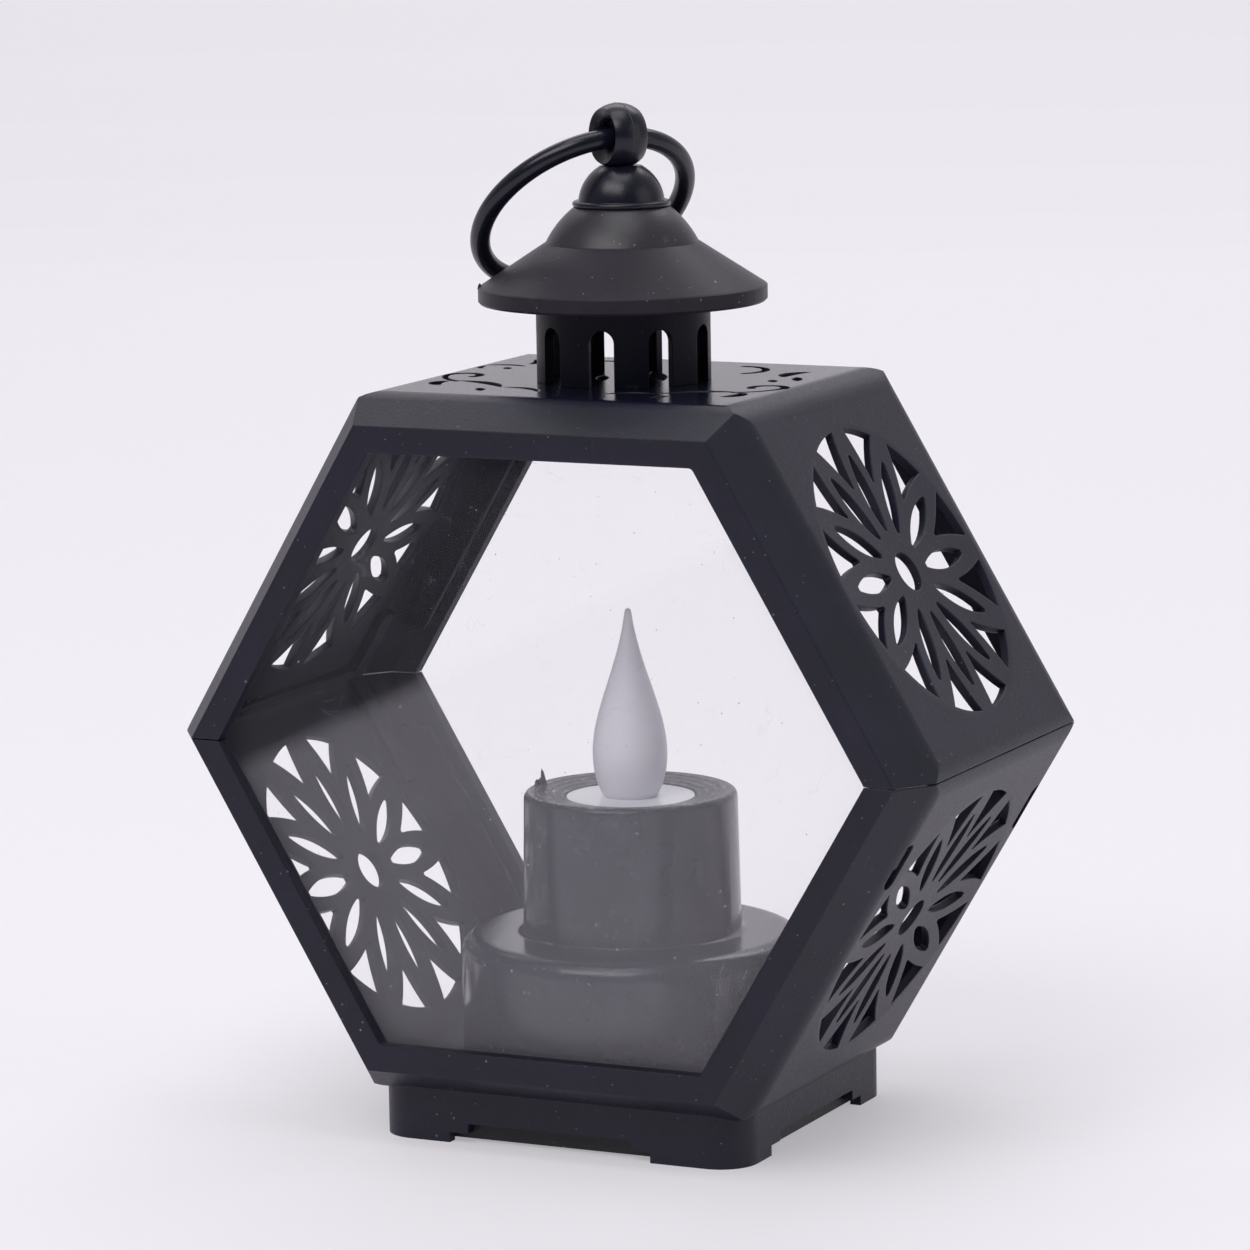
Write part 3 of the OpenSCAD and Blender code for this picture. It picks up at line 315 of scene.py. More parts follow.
def moulded_styrene(name, colour, pale, rough, grain_mm, grain_depth, dusty=0.5, edge=0.22, polish=1.0,
                    matt_core=0.0, shine=0.34, smooth_above=None):
    """Injection moulded polystyrene, spark-textured in the mould: a broad soft sheen with no
    mirror, a fine even grain, cloudy flow marks and a few pale specks of dust. Faces that lay
    flat against the polished end of the mould have a smoother sheen, and those that its rough
    core made have a dull skin. Where smooth_above gives a height and a level, the skin above
    that height has this level of shine."""
    m, t, s = material(name, colour, rough, IOR=1.55, Specular_IOR_Level=shine)
    normal, pos = grain(t, grain_mm, grain_depth, edge_mm=edge)
    place = pos.outputs["Position"]
    flow = node(t, "TexNoise", {"Scale": 1 / (9 * MM), "Detail": 4.0, "Roughness": 0.6}, Vector=place)
    speck = total(t, dust(t, pos, 2.6, 0.21, 0.4, dusty), dust(t, pos, 1.3, 0.13, 0.5, dusty),
                  hairs(t, pos, 5, 0.045, 0.015, dusty * 0.12))
    cloud = node(t, "ValToRGB", stops=[(0.35, linear(colour)), (0.7, linear(pale))], i0=flow.outputs["Fac"])
    tint = node(t, "MixRGB", {2: linear(DUST_COLOUR)}, i0=speck, i1=cloud.outputs["Color"])
    fine = node(t, "TexNoise", {"Scale": 1 / (0.35 * MM), "Detail": 2.0}, Vector=place)
    worn = node(t, "MapRange", {3: rough * 0.77, 4: rough * 1.28}, i0=fine.outputs["Fac"])
    facing = node(t, "SeparateXYZ", i0=pos.outputs["Normal"])
    flat = node(t, "MapRange", {1: 0.96, 2: 0.995, 3: 1.0, 4: polish}, i0=facing.outputs["Z"])
    gloss = node(t, "Math", {"operation": "MULTIPLY"}, i0=worn.outputs["Result"], i1=flat.outputs["Result"])
    if matt_core:
        away = node(t, "VectorMath", {"operation": "SUBTRACT", 1: (0, 0, SEAM_HEIGHT)}, i0=place)
        out = node(t, "VectorMath", {"operation": "DOT_PRODUCT"}, i0=away.outputs["Vector"],
                   i1=pos.outputs["Normal"])
        core = node(t, "MapRange", {1: 0.0, 2: -4 * MM, 3: 0.0, 4: matt_core}, i0=out.outputs["Value"])
        gloss = node(t, "Math", {"operation": "ADD", "use_clamp": True}, i0=gloss.outputs["Value"],
                     i1=core.outputs["Result"])
        level = node(t, "MapRange", {1: 0.0, 2: 0.2, 3: shine, 4: shine * 0.7}, i0=core.outputs["Result"])
        t.links.new(level.outputs["Result"], s.inputs["Specular IOR Level"])
    if smooth_above:
        foot, bright = smooth_above
        high = node(t, "SeparateXYZ", i0=place)
        level = node(t, "MapRange", {1: foot - 0.1 * MM, 2: foot + 0.1 * MM, 3: shine, 4: bright},
                     i0=high.outputs["Z"])
        t.links.new(level.outputs["Result"], s.inputs["Specular IOR Level"])
    t.links.new(tint.outputs["Color"], s.inputs["Base Color"])
    t.links.new(gloss.outputs["Value"], s.inputs["Roughness"])
    t.links.new(normal, s.inputs["Normal"])
    return m


def clear_sheet(name, veil_below_edge, veil_above_edge, tint, scratch):
    """Clear polystyrene pane, die cut from sheet: a faint grey veil, painted reflection of the pale floor,
    thick low on the pane and thin above an edge that rises to the right, hairline scratches and specks of dust
    that catch the light, and a soft gloss."""
    m, t, s = material(name, tint, 0.12, IOR=1.59)
    pos = node(t, "NewGeometry")
    veil = node(t, "TexNoise", {"Scale": 1 / (26 * MM), "Detail": 3.0}, Vector=pos.outputs["Position"])
    cloud = node(t, "MapRange", {3: veil_below_edge * 0.75, 4: veil_below_edge * 1.25}, i0=veil.outputs["Fac"])
    rise = node(t, "VectorMath", {"operation": "DOT_PRODUCT", 1: (-FLOOR_REFLECTION_SLOPE, 0, 1)},
                i0=pos.outputs["Position"])
    # Painted reflection of the pale floor: the veil is thick below a line that climbs to the right and thins
    # above it
    high = node(t, "MapRange", {1: FLOOR_REFLECTION_FROM, 2: FLOOR_REFLECTION_TO, 3: 1.0, 4: veil_above_edge / veil_below_edge},
                i0=rise.outputs["Value"])
    floor_reflection_veil = node(t, "Math", {"operation": "MULTIPLY"}, i0=cloud.outputs["Result"], i1=high.outputs["Result"])
    cover = total(t, floor_reflection_veil.outputs["Value"], dust(t, pos, 3, 0.17, 0.5, 0.55),
                  dust(t, pos, 1.4, 0.1, 0.35, 0.4), hairs(t, pos, 7, 0.07, 0.05, scratch))
    t.links.new(cover, s.inputs["Alpha"])
    return m


def milky_silicone(name, colour):
    """Cast translucent silicone: light soaks in and glows at thin edges, with a satin skin."""
    m, t, s = material(name, colour, 0.42, IOR=1.41, Subsurface_Weight=0.65, Subsurface_Scale=1.0)
    s.inputs["Subsurface Radius"].default_value = (2.6 * MM, 2.4 * MM, 2.9 * MM)
    pos = node(t, "NewGeometry")
    skin = node(t, "TexNoise", {"Scale": 1 / (0.9 * MM), "Detail": 3.0}, Vector=pos.outputs["Position"])
    bump = node(t, "Bump", {"Strength": 0.6, "Distance": 0.02 * MM}, Height=skin.outputs["Fac"])
    t.links.new(bump.outputs["Normal"], s.inputs["Normal"])
    return m


def white_styrene(name, colour):
    """Moulded white polystyrene: bright, slightly translucent, glossy at a flat angle."""
    m, t, s = material(name, colour, 0.2, IOR=1.55, Subsurface_Weight=0.2, Subsurface_Scale=1.0)
    s.inputs["Subsurface Radius"].default_value = (1.2 * MM, 1.1 * MM, 1.3 * MM)
    normal, pos = grain(t, 0.5, 0.006, edge_mm=0.15)
    t.links.new(normal, s.inputs["Normal"])
    return m


def plated_steel(name, colour, rough, grain_mm):
    """Nickel or zinc plate over pressed steel: grey mirror broken by fine drawn lines."""
    m, t, s = material(name, colour, rough, Metallic=1.0)
    pos = node(t, "NewGeometry")
    lines = node(t, "TexNoise", {"Scale": 1 / (grain_mm * MM), "Detail": 4.0}, Vector=pos.outputs["Position"])
    r = node(t, "MapRange", {3: rough - 0.08, 4: rough + 0.12}, i0=lines.outputs["Fac"])
    bump = node(t, "Bump", {"Strength": 0.5, "Distance": 0.008 * MM}, Height=lines.outputs["Fac"])
    t.links.new(r.outputs["Result"], s.inputs["Roughness"])
    t.links.new(bump.outputs["Normal"], s.inputs["Normal"])
    return m


def pressed_board(name, colour, dark):
    """Paper-based circuit board: tan, with short fibres and a dull face."""
    m, t, s = material(name, colour, 0.6, IOR=1.5)
    pos = node(t, "NewGeometry")
    fibre = node(t, "TexNoise", {"Scale": 1 / (0.6 * MM), "Detail": 6.0}, Vector=pos.outputs["Position"])
    c = node(t, "ValToRGB", stops=[(0.3, linear(dark)), (0.7, linear(colour))], i0=fibre.outputs["Fac"])
    t.links.new(c.outputs["Color"], s.inputs["Base Color"])
    return m


def wire_sleeve(name, colour):
    """Extruded vinyl sleeve: even colour, waxy gloss."""
    m, t, s = material(name, colour, 0.35, IOR=1.53)
    pos = node(t, "NewGeometry")
    n = node(t, "TexNoise", {"Scale": 1 / (1.5 * MM)}, Vector=pos.outputs["Position"])
    r = node(t, "MapRange", {3: 0.28, 4: 0.42}, i0=n.outputs["Fac"])
    t.links.new(r.outputs["Result"], s.inputs["Roughness"])
    return m


def lamp_resin(name, colour):
    """Cast epoxy of a small lamp: clear, warm and glossy."""
    m, t, s = material(name, colour, 0.12, IOR=1.54, Transmission_Weight=0.7)
    pos = node(t, "NewGeometry")
    n = node(t, "TexNoise", {"Scale": 1 / (1.1 * MM)}, Vector=pos.outputs["Position"])
    r = node(t, "MapRange", {3: 0.08, 4: 0.2}, i0=n.outputs["Fac"])
    t.links.new(r.outputs["Result"], s.inputs["Roughness"])
    return m


def turned_candle(name, colour, pale, rough):
    """The candle's moulded polystyrene: as the body, with the torn rings that a trimming cutter
    left round the top of the column. They are drawn wider than the real 0.4 mm, so that they show."""
    m = moulded_styrene(name, colour, pale, rough, 0.4, 0.014, dusty=1.0, edge=0.3, polish=0.8)
    t = m.node_tree
    s = t.nodes["Principled BSDF"]
    pos = node(t, "NewGeometry")
    xyz = node(t, "SeparateXYZ", i0=pos.outputs["Position"])
    flat = node(t, "CombineXYZ", X=xyz.outputs["X"], Y=xyz.outputs["Y"])
    ring = node(t, "VectorMath", {"operation": "LENGTH"}, i0=flat.outputs["Vector"])
    turns = node(t, "Math", {"operation": "MULTIPLY", 1: 2 * math.pi / (1.1 * MM)}, i0=ring.outputs["Value"])
    wave = node(t, "Math", {"operation": "SINE"}, i0=turns.outputs["Value"])
    up = node(t, "SeparateXYZ", i0=pos.outputs["Normal"])
    on_top = node(t, "MapRange", {1: 0.55, 2: 0.9}, i0=up.outputs["Z"])
    high = node(t, "MapRange", {1: TORN_ABOVE - 1 * MM, 2: TORN_ABOVE}, i0=xyz.outputs["Z"])
    gate = node(t, "Math", {"operation": "MULTIPLY"}, i0=on_top.outputs["Result"], i1=high.outputs["Result"])
    rough_cut = node(t, "TexNoise", {"Scale": 1 / (1.5 * MM), "Detail": 5.0, "Roughness": 0.7},
                     Vector=pos.outputs["Position"])
    torn = node(t, "MapRange", {1: 0.3, 2: 0.7, 3: -1.8, 4: 1.8}, i0=rough_cut.outputs["Fac"])
    cut = node(t, "Math", {"operation": "ADD"}, i0=wave.outputs["Value"], i1=torn.outputs["Result"])
    height = node(t, "Math", {"operation": "MULTIPLY"}, i0=cut.outputs["Value"], i1=gate.outputs["Value"])
    old = s.inputs["Normal"].links[0].from_socket
    bump = node(t, "Bump", {"Strength": 1.0, "Distance": 0.09 * MM}, Height=height.outputs["Value"],
                Normal=old)
    t.links.new(bump.outputs["Normal"], s.inputs["Normal"])
    pale_cut = node(t, "MapRange", {1: 0.1, 2: 1.8, 3: 0.0, 4: 0.85}, i0=height.outputs["Value"])
    tint = node(t, "MixRGB", {2: linear(TORN_COLOUR)}, i0=pale_cut.outputs["Result"],
                i1=s.inputs["Base Color"].links[0].from_socket)
    t.links.new(tint.outputs["Color"], s.inputs["Base Color"])
    return m


# Settings


class LanternSettings(bpy.types.PropertyGroup):
    """Colours and sizes of the lantern's own pieces"""
    body_colour: bpy.props.StringProperty(
        name="Body colour", description="sRGB hex colour of the black shells", default="#0f0f20")
    body_pale: bpy.props.StringProperty(
        name="Flow mark colour", description="sRGB hex colour of the paler clouds in the shells",
        default="#16162a")
    roof_colour: bpy.props.StringProperty(
        name="Roof colour", description="sRGB hex colour of the dull roof", default="#2a272e")
    trim_colour: bpy.props.StringProperty(
        name="Trim colour", description="sRGB hex colour of the collar, finial and ring", default="#0e0e1d")
    flame_colour: bpy.props.StringProperty(
        name="Flame colour", description="sRGB hex colour of the silicone flame", default="#f1eeff")
    disc_colour: bpy.props.StringProperty(
        name="Disc colour", description="sRGB hex colour of the disc under the flame", default="#f6f5fc")
    grain_size: bpy.props.FloatProperty(
        name="Grain size", description="Width of the moulded grain", default=0.45 * MM, unit="LENGTH")
    rim_height: bpy.props.FloatProperty(
        name="Roof rim height", description="Height of the roof's outer edge",
        default=110.7 * MM, unit="LENGTH")
    ball_radius: bpy.props.FloatProperty(
        name="Ball radius", description="Radius of the finial's ball", default=4.3 * MM, unit="LENGTH")
    ball_shift: bpy.props.FloatProperty(
        name="Ball shift", description="How far the ball stands off the dome's middle",
        default=0.3 * MM, unit="LENGTH")
    eye_height: bpy.props.FloatProperty(
        name="Eye height", description="Height of the eye's axis", default=0.130327, unit="LENGTH")
    eye_turn: bpy.props.FloatProperty(
        name="Eye turn", description="Turn of the eye that the ring passes through",
        default=math.radians(55.3), unit="ROTATION")
    line_height: bpy.props.FloatProperty(
        name="Parting line", description="How far the parting line stands out of the ball",
        default=0.07 * MM, unit="LENGTH")
    mark_height: bpy.props.FloatProperty(
        name="Mark height", description="Height of the letters beside the switch",
        default=1.9 * MM, unit="LENGTH")


class StudioSettings(bpy.types.PropertyGroup):
    """Colours, lights and camera of the studio"""
    floor_colour: bpy.props.StringProperty(
        name="Floor colour", description="sRGB hex colour of the pale floor's skin", default="#b4b1b6")
    glow_colour: bpy.props.StringProperty(
        name="Glow colour", description="sRGB hex colour of the light that comes up through the floor",
        default="#f0edf3")
    floor_glow: bpy.props.FloatProperty(
        name="Floor glow", description="Brightness of the light that comes up through the floor",
        default=0.43)
    light_power: bpy.props.FloatProperty(
        name="Light power", description="Power of which each light takes its share", default=9.0, unit="POWER")
    air_front: bpy.props.FloatProperty(
        name="Air in front", description="Brightness of the air in front of the lantern", default=0.1)
    air_back: bpy.props.FloatProperty(
        name="Air behind", description="Brightness of the air above and behind the lantern", default=0.5)
    distance: bpy.props.FloatProperty(
        name="Camera distance", description="From the aim point to the camera",
        default=0.76704, unit="LENGTH")
    azimuth: bpy.props.FloatProperty(
        name="Camera azimuth", description="Turn of the camera to the right of the front",
        default=math.radians(25.713), unit="ROTATION")
    elevation: bpy.props.FloatProperty(
        name="Camera elevation", description="Height angle of the camera",
        default=math.radians(9.205), unit="ROTATION")


# Operators


class FinishShells(bpy.types.Operator):
    """Finish the two body halves"""
    bl_idname = "lantern.finish_shells"
    bl_label = "Finish the shells"

    def execute(self, context):
        w = context.scene.lantern
        for name in ("upper_shell", "lower_shell"):
            finish_node(name, moulded_styrene(
                "Styrene black " + name.split("_")[0], w.body_colour, w.body_pale, 0.43,
                w.grain_size / MM, 0.03, dusty=0.32, edge=0.36, polish=0.45, matt_core=0.2))
        return {"FINISHED"}


class FinishPanes(bpy.types.Operator):
    """Finish the front and rear panes"""
    bl_idname = "lantern.finish_panes"
    bl_label = "Finish the panes"

    def execute(self, context):
        # The front pane's veil is painted reflection of the pale floor, thick low on the pane and thin above;
        # the rear pane's veil is even
        finish_node("front_pane", clear_sheet("Clear styrene front", 0.078, 0.014, "#e9e6f0", 0.1))
        finish_node("rear_pane", clear_sheet("Clear styrene rear", 0.02, 0.02, "#d8e6ea", 0.04))
        return {"FINISHED"}


class FinishRoof(bpy.types.Operator):
    """Finish the roof, vent collar, finial screw and ring"""
    bl_idname = "lantern.finish_roof"
    bl_label = "Finish the roof and ring"

    def execute(self, context):
        w = context.scene.lantern
        finish_node("roof_cap", moulded_styrene(
            "Styrene black roof", w.roof_colour, "#302d35", 0.36, 0.32, 0.02, dusty=0.55, shine=0.09,
            smooth_above=(BELL_FOOT, 0.34)))
        finish_node("vent_collar", moulded_styrene(
            "Styrene black collar", w.trim_colour, TRIM_PALE, 0.42, 0.5, 0.01, dusty=0.2, shine=0.12))
        finish_node("ring_handle", moulded_styrene(
            "Styrene black ring", w.trim_colour, TRIM_PALE, 0.24, 0.6, 0.005, dusty=0.2, edge=0.0))
        finish_node("finial_screw", plated_steel("Zinc plate finial screw", ZINC, 0.3, 0.3))
        return {"FINISHED"}


class FinishCandle(bpy.types.Operator):
    """Finish the candle, its disc, flame and lamp"""
    bl_idname = "lantern.finish_candle"
    bl_label = "Finish the candle"

    def execute(self, context):
        w = context.scene.lantern
        finish_node("candle_housing", turned_candle("Styrene black candle", "#101020", "#17172a", 0.2))
        finish_node("flame", milky_silicone("Silicone milky", w.flame_colour))
        finish_node("flame_disc", white_styrene("Styrene white", w.disc_colour))
        finish_node("led", lamp_resin("Epoxy lamp", "#f3e6c0"))
        finish_node("led_board", pressed_board("Board lamp", "#b08a52", "#8f6d3c"))
        finish_node("led_wires", wire_sleeve("Vinyl red", "#b3262a"))
        finish_node("candle_screws", plated_steel("Zinc plate candle screws", ZINC, 0.3, 0.3))
        return {"FINISHED"}


class FinishBase(bpy.types.Operator):
    """Finish the bottom cover, battery door, switch, cells and contacts"""
    bl_idname = "lantern.finish_base"
    bl_label = "Finish the base"

    def execute(self, context):
        cover = moulded_styrene("Styrene black cover", "#1d1d20", "#252529", 0.5, 0.5, 0.03, dusty=0.3)
        door = moulded_styrene("Styrene black door", "#1b1b1e", "#232327", 0.48, 0.5, 0.03, dusty=0.3)
        finish_node("bottom_cover", cover)
        finish_node("battery_door", door)
        finish_node("switch_slider", moulded_styrene(
            "Acetal black", "#161618", "#1b1b1d", 0.35, 0.4, 0.006, dusty=0.1))
        finish_node("switch_body", plated_steel("Tinned steel", "#b9bbbd", 0.32, 0.4))
        finish_node("switch_board", pressed_board("Board switch", "#a9834c", "#8a6838"))
        finish_node("button_cells", plated_steel("Nickel cells", "#cfcfd0", 0.22, 0.25))
        brass = plated_steel("Nickel washed brass", "#d8c79a", 0.28, 0.35)
        finish_node("plus_contact", brass)
        finish_node("spring_contact", brass)
        steel = plated_steel("Zinc plate base screws", ZINC, 0.3, 0.3)
        finish_node("cover_screws", steel)
        finish_node("door_screw", steel)
        return {"FINISHED"}


class AddFlash(bpy.types.Operator):
    """Add the flash that the moulds left on the candle's top edge and the roof's edge"""
    bl_idname = "lantern.add_flash"
    bl_label = "Add the moulding flash"

    def execute(self, context):
        w = context.scene.lantern
        torn = moulded_styrene("Styrene black torn", "#1a1a24", "#24242f", 0.5, 0.3, 0.02, dusty=0.6,
                               edge=0.0)
        rng = random.Random(7)
        bm = bmesh.new()
        # Place, width and height in mm, and turn in radians, of each flake on the candle
        spots = [(-12.3, -0.95, 1.0, 2.2, 0.3), (-12.75, -1.2, 1.2, 1.0, 0.5),
                 (-13.15, -1.35, 1.1, 0.75, 0.2), (-12.1, -0.8, 0.7, 1.3, 0.9)]
        foot, sunk = 43.4 * MM, 0.4
        for x, y, wide, tall, turn in spots:
            lean = (rng.uniform(-0.2, 0.25), rng.uniform(-0.2, 0.2), 0)
            flake(bm, (x * MM, y * MM, foot), lean, wide * MM, (tall + sunk) * MM, 0.3 * MM, turn)
        new_piece("candle_flash", bm_mesh("candle_flash", bm), torn, "housing")

        bm = bmesh.new()
        for i in range(5):
            a = math.radians(202 + 1.3 * i)
            place = (ROOF_EDGE_RADIUS * math.cos(a), ROOF_EDGE_RADIUS * math.sin(a), w.rim_height - 0.2 * MM)
            flake(bm, place, (0, 0, 0), 0.7 * MM, (0.5 + 0.35 * rng.random()) * MM, 0.22 * MM, 0.3)
        new_piece("rim_flash", bm_mesh("rim_flash", bm), torn, "housing")
        return {"FINISHED"}


class AddFinial(bpy.types.Operator):
    """Add the finial with its full ball, the dished mouths of its eye and its rounded flange"""
    bl_idname = "lantern.add_finial"
    bl_label = "Add the finial"

    def execute(self, context):
        w = context.scene.lantern
        black = moulded_styrene("Styrene black finial", w.trim_colour, TRIM_PALE, 0.29, 0.4, 0.01, dusty=0.45,
                                edge=0.16)
        # The dome's side is an arc between these (radius, height) points in mm, with this swell
        foot, top, swell = Vector((5.62, 121.8)), Vector((2.95, 126.15)), 0.6
        chord = top - foot
        out = Vector((chord.y, -chord.x)) / chord.length
        r = (chord.length ** 2 / 4 + swell ** 2) / (2 * swell)
        mid = (foot + top) / 2 - out * (r - swell)
        a0 = math.atan2(foot.y - mid.y, foot.x - mid.x)
        a1 = math.atan2(top.y - mid.y, top.x - mid.x)
        # From the screw's bore round the flange's edge, up the dome and in to the axis
        side = [(0, 125.8), (1, 125.8), (1, 119.45), (2.5, 119.45), (2.5, 121)]
        side += [(6.02 + 0.4 * math.cos(a), 121.4 + 0.4 * math.sin(a))
                 for a in (math.radians(-90 + 15 * i) for i in range(13))]
        side += [(mid.x + r * math.cos(a), mid.y + r * math.sin(a))
                 for a in (a0 + (a1 - a0) * i / 14 for i in range(15))]
        side += [(2.86, 126.24), (2.72, 126.3), (1.2, 126.3), (0, 126.3)]
        parts = bmesh.new()
        lathe(parts, side, Matrix.Identity(4))

        centre = ball_centre(w)
        steps = 48
        radius = w.ball_radius / MM
        sphere = [(radius * math.sin(math.pi * i / steps), -radius * math.cos(math.pi * i / steps))
                  for i in range(steps + 1)]
        ball = bmesh.new()
        lathe(ball, sphere, Matrix.Translation(centre))
        # Half of the eye's form along its own axis, dished at the mouth and narrow in the middle
        mouth = [(0, -6), (5.2, -6), (5.2, -3.3), (3.56, -2.4), (2.95, -2.02), (2.45, -1.7), (2.15, -1.35),
                 (2, -0.9)]
        mouth += [(a, -b) for a, b in reversed(mouth)]
        eye = Matrix.Translation((centre.x, centre.y, w.eye_height))
        eye = eye @ Matrix.Rotation(w.eye_turn, 4, "Z") @ Matrix.Rotation(math.radians(90), 4, "Y")
        cutter = bmesh.new()
        lathe(cutter, mouth, eye)
        parts.from_mesh(cut_from(bm_mesh("ball", ball), bm_mesh("eye", cutter)))
        piece = new_piece("finial_moulding", bm_mesh("finial_moulding", parts), black, "housing")
        piece.data.set_sharp_from_angle(angle=math.radians(38))
        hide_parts("finial")
        return {"FINISHED"}


class AddPartingLine(bpy.types.Operator):
    """Add the parting line that the two mould halves left over the finial's ball, paler than the ball as
    painted highlight along its crest
    """
    bl_idname = "lantern.add_parting_line"
    bl_label = "Add the parting line"

    def execute(self, context):
        w = context.scene.lantern
        # The raised ridge is real; its paler colour is painted highlight along the crest
        pale = moulded_styrene("Styrene black parting line painted highlight", "#3a3a45", "#454551", 0.4, 0.3, 0.01, dusty=0.3,
                               edge=0.0)
        across = Vector((-math.sin(w.eye_turn), math.cos(w.eye_turn), 0))
        eye = Vector((math.cos(w.eye_turn), math.sin(w.eye_turn), 0))
        centre = ball_centre(w)
        half_width = w.line_height * 1.2
        rng = random.Random(3)
        bm = bmesh.new()
        rows = []
        steps = 72
        for i in range(steps + 1):
            a = math.radians(-128 + 256 * i / steps)
            out = Vector((0, 0, 1)) * math.cos(a) + across * math.sin(a)
            proud = w.line_height * (0.75 + 0.25 * math.sin(9 * a) + 0.2 * rng.random())
            sunk = centre + out * (w.ball_radius - 0.05 * MM)
            crest = centre + out * (w.ball_radius + proud)
            crest.z = min(crest.z, FINIAL_TOP)
            rows.append([bm.verts.new(v) for v in (sunk + eye * half_width, crest, sunk - eye * half_width)])
        for r, q in zip(rows, rows[1:]):
            for k in range(3):
                bm.faces.new((r[k], r[(k + 1) % 3], q[(k + 1) % 3], q[k]))
        bm.faces.new(rows[0])
        bm.faces.new(rows[-1])
        new_piece("ball_parting_line", bm_mesh("ball_parting_line", bm), pale, "housing")
        return {"FINISHED"}


class AddSwitchMarks(bpy.types.Operator):
    """Add the raised ON and OFF beside the switch under the base"""
    bl_idname = "lantern.add_switch_marks"
    bl_label = "Add the switch marks"

    def execute(self, context):
        w = context.scene.lantern
        black = moulded_styrene("Styrene black marks", "#26262c", "#2e2e35", 0.38, 0.4, 0.01, dusty=0.2,
                                edge=0.0)
        tall = w.mark_height
        turns = [2 * math.pi * i / 24 for i in range(25)]
        # Each letter's strokes as points, in shares of its height
        letters = {
            "O": [[(0.36 * math.cos(a), 0.5 + 0.5 * math.sin(a)) for a in turns]],
            "N": [[(-0.32, 0), (-0.32, 1), (0.32, 0), (0.32, 1)]],
            "F": [[(-0.26, 0), (-0.26, 1), (0.34, 1)], [(-0.26, 0.52), (0.2, 0.52)]],
        }
        bm = bmesh.new()
        for word, x in (("ON", 7.7), ("OFF", -8.6)):
            start = x * MM - (len(word) - 1) * 0.5 * tall * 0.95
            for i, letter in enumerate(word):
                for line in letters[letter]:
                    # Seen from below, the letters' tops point to the front
                    points = [(start + i * tall * 0.95 + px * tall, SWITCH_Y - (py - 0.5) * tall)
                              for px, py in line]
                    ribbon(bm, points, 0.2 * tall, 0.45 * MM, 0.22 * MM)
        new_piece("switch_marks", bm_mesh("switch_marks", bm), black, "housing")
        return {"FINISHED"}


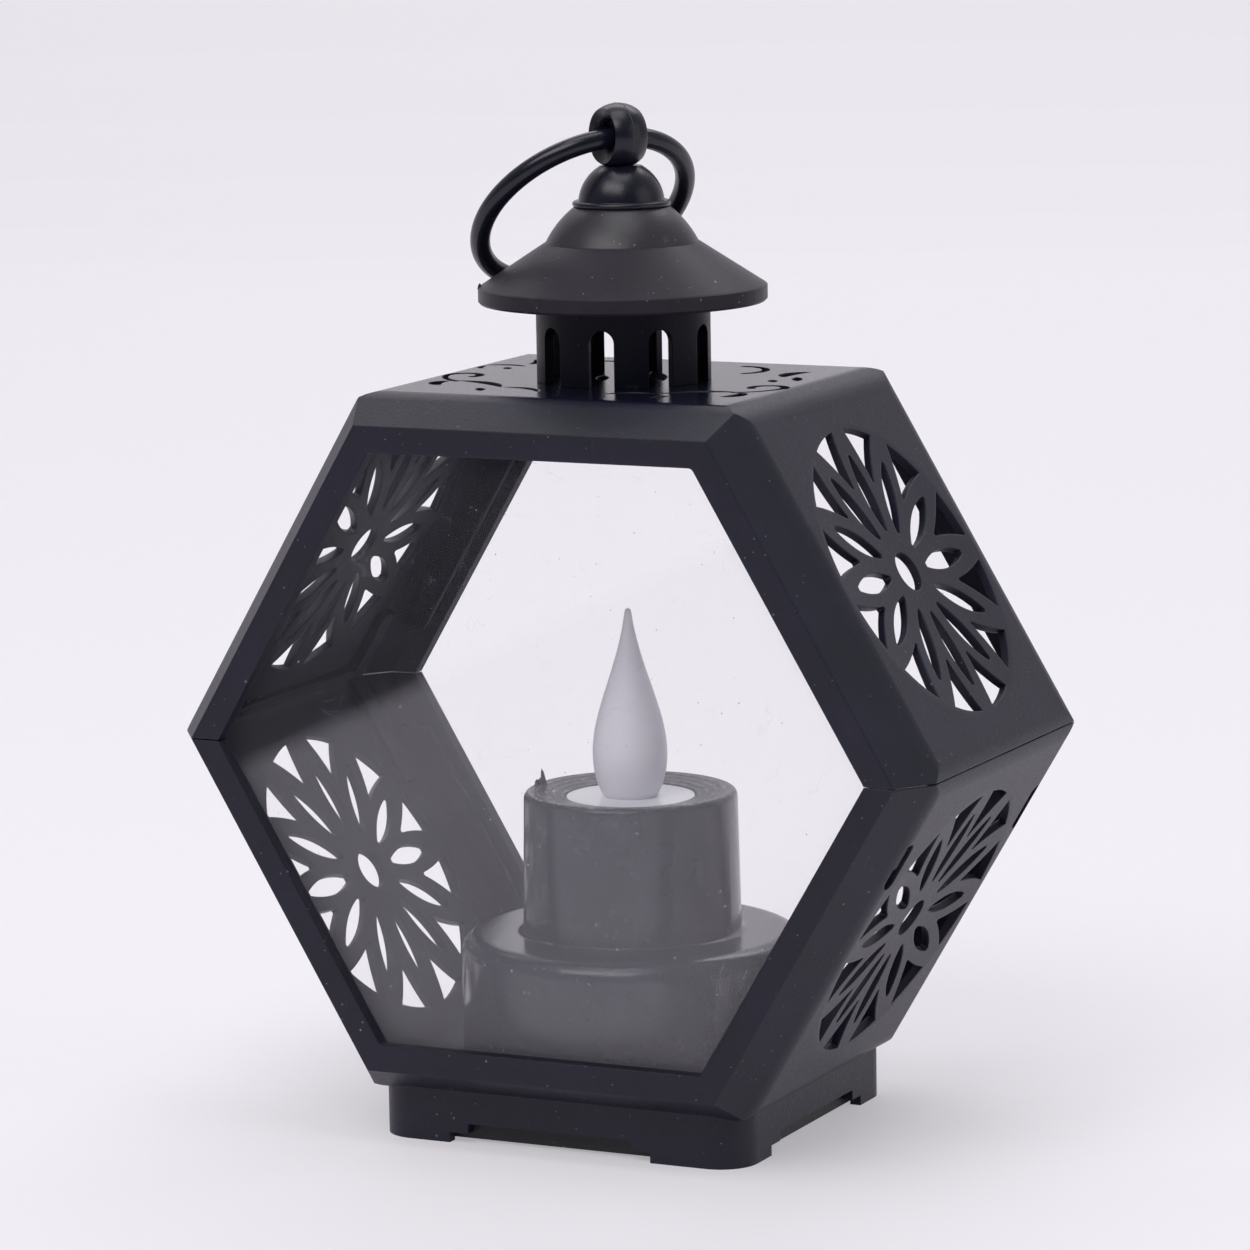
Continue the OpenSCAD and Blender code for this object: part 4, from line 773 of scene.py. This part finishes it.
class SetStudio(bpy.types.Operator):
    """Set the pale floor, the soft lights and the camera"""
    bl_idname = "lantern.set_studio"
    bl_label = "Set the studio"

    def execute(self, context):
        s = context.scene.lantern_studio
        self.set_floor(context.scene, s)
        self.set_air(context.scene, s)
        for name, size, share, where, aim in LIGHTS:
            self.add_light(name, size, s.light_power * share, where, aim)
        self.set_camera(context.scene, s)
        context.scene.view_settings.view_transform = "Standard"
        return {"FINISHED"}

    def set_floor(self, scene, s):
        """Adds the floor, which bends up into a wall behind the lantern."""
        bm = bmesh.new()
        # The sheet's (depth, height) points in metres, which start flat and end upright
        bend, bend_start, half_width = 0.5, 1.1, 2.4
        profile = [(-1.6, 0), (bend_start, 0)]
        for i in range(17):
            a = math.radians(90 * i / 16)
            profile.append((bend_start + bend * math.sin(a), bend - bend * math.cos(a)))
        profile.append((bend_start + bend, 2.4))
        left, right = [[bm.verts.new((x, y, z)) for y, z in profile] for x in (-half_width, half_width)]
        for i in range(len(profile) - 1):
            bm.faces.new((left[i], right[i], right[i + 1], left[i + 1]))
        mesh = bpy.data.meshes.new("backdrop")
        bm.to_mesh(mesh)
        bm.free()
        floor = bpy.data.objects.new("backdrop", mesh)
        scene.collection.objects.link(floor)
        floor.rotation_euler[2] = s.azimuth
        # Milky acrylic sheet lit from below, which thins the lantern's shadow to a faint pool
        m, t, skin = material("Milky acrylic sheet", s.floor_colour, 0.8, Emission_Strength=s.floor_glow)
        skin.inputs["Emission Color"].default_value = linear(s.glow_colour)
        pos = node(t, "NewGeometry")
        n = node(t, "TexNoise", {"Scale": 1 / (4 * MM), "Detail": 3.0}, Vector=pos.outputs["Position"])
        r = node(t, "MapRange", {3: 0.75, 4: 0.9}, i0=n.outputs["Fac"])
        t.links.new(r.outputs["Result"], skin.inputs["Roughness"])
        mesh.materials.append(m)

    def set_air(self, scene, s):
        """Lights the air, brighter behind the lantern than in front of it."""
        world = bpy.data.worlds.new("Studio air")
        world.use_nodes = True
        t = world.node_tree
        air = t.nodes["Background"]
        air.inputs["Color"].default_value = linear("#f6f5f9")
        way = node(t, "TexCoord")
        ahead = (-math.sin(s.azimuth), math.cos(s.azimuth), 0.35)
        along = node(t, "VectorMath", {"operation": "DOT_PRODUCT", 1: ahead}, i0=way.outputs["Generated"])
        level = node(t, "MapRange", {1: -0.7, 2: 0.6, 3: s.air_front, 4: s.air_back},
                     i0=along.outputs["Value"])
        t.links.new(level.outputs["Result"], air.inputs["Strength"])
        scene.world = world

    def add_light(self, name, size, power, where, aim):
        """Adds one white softbox turned to its aim."""
        d = bpy.data.lights.new(name, "AREA")
        d.shape = "RECTANGLE"
        d.size, d.size_y = size
        d.energy = power
        o = bpy.data.objects.new(name, d)
        bpy.context.scene.collection.objects.link(o)
        o.location = where
        o.rotation_euler = (Vector(aim) - Vector(where)).to_track_quat("-Z", "Y").to_euler()

    def set_camera(self, scene, s):
        """Sets the camera where the photo was taken from, with the photo's slight roll."""
        a, e = s.azimuth, s.elevation
        back = Vector((math.sin(a) * math.cos(e), -math.cos(a) * math.cos(e), math.sin(e)))
        right = (-back).cross(Vector((0, 0, 1))).normalized()
        up = right.cross(-back)
        tilted_right = right * math.cos(ROLL) + up * math.sin(ROLL)
        tilted_up = up * math.cos(ROLL) - right * math.sin(ROLL)
        cam = bpy.data.cameras.new("camera")
        cam.lens = FOCAL_LENGTH_PX / PHOTO_WIDTH_PX * SENSOR_MM
        cam.sensor_width = SENSOR_MM
        cam.sensor_fit = "HORIZONTAL"
        cam.clip_start = 0.01
        o = bpy.data.objects.new("camera", cam)
        scene.collection.objects.link(o)
        turn = Matrix((tilted_right, tilted_up, back)).transposed().to_4x4()
        o.matrix_world = Matrix.Translation(AIM + back * s.distance) @ turn
        scene.camera = o


STEPS = [FinishShells, FinishPanes, FinishRoof, FinishCandle, FinishBase, AddFinial, AddFlash, AddPartingLine,
         AddSwitchMarks, SetStudio]


class LanternPanel(bpy.types.Panel):
    """Lists the lantern's steps"""
    bl_idname = "VIEW3D_PT_lantern"
    bl_label = "Hexagonal lantern"
    bl_space_type = "VIEW_3D"
    bl_region_type = "UI"
    bl_category = "Lantern"

    def draw(self, context):
        for settings in (context.scene.lantern, context.scene.lantern_studio):
            for key in settings.bl_rna.properties.keys():
                if key not in ("rna_type", "name"):
                    self.layout.prop(settings, key)
        for step in STEPS:
            self.layout.operator(step.bl_idname)


CLASSES = [LanternSettings, StudioSettings, *STEPS, LanternPanel]


def register():
    for c in CLASSES:
        bpy.utils.register_class(c)
    bpy.types.Scene.lantern = bpy.props.PointerProperty(type=LanternSettings)
    bpy.types.Scene.lantern_studio = bpy.props.PointerProperty(type=StudioSettings)


def unregister():
    del bpy.types.Scene.lantern_studio
    del bpy.types.Scene.lantern
    for c in reversed(CLASSES):
        bpy.utils.unregister_class(c)


def main():
    """Runs every step in order."""
    register()
    for step in STEPS:
        group, name = step.bl_idname.split(".")
        getattr(getattr(bpy.ops, group), name)()
    bpy.context.view_layer.update()


if __name__ == "__main__":
    main()
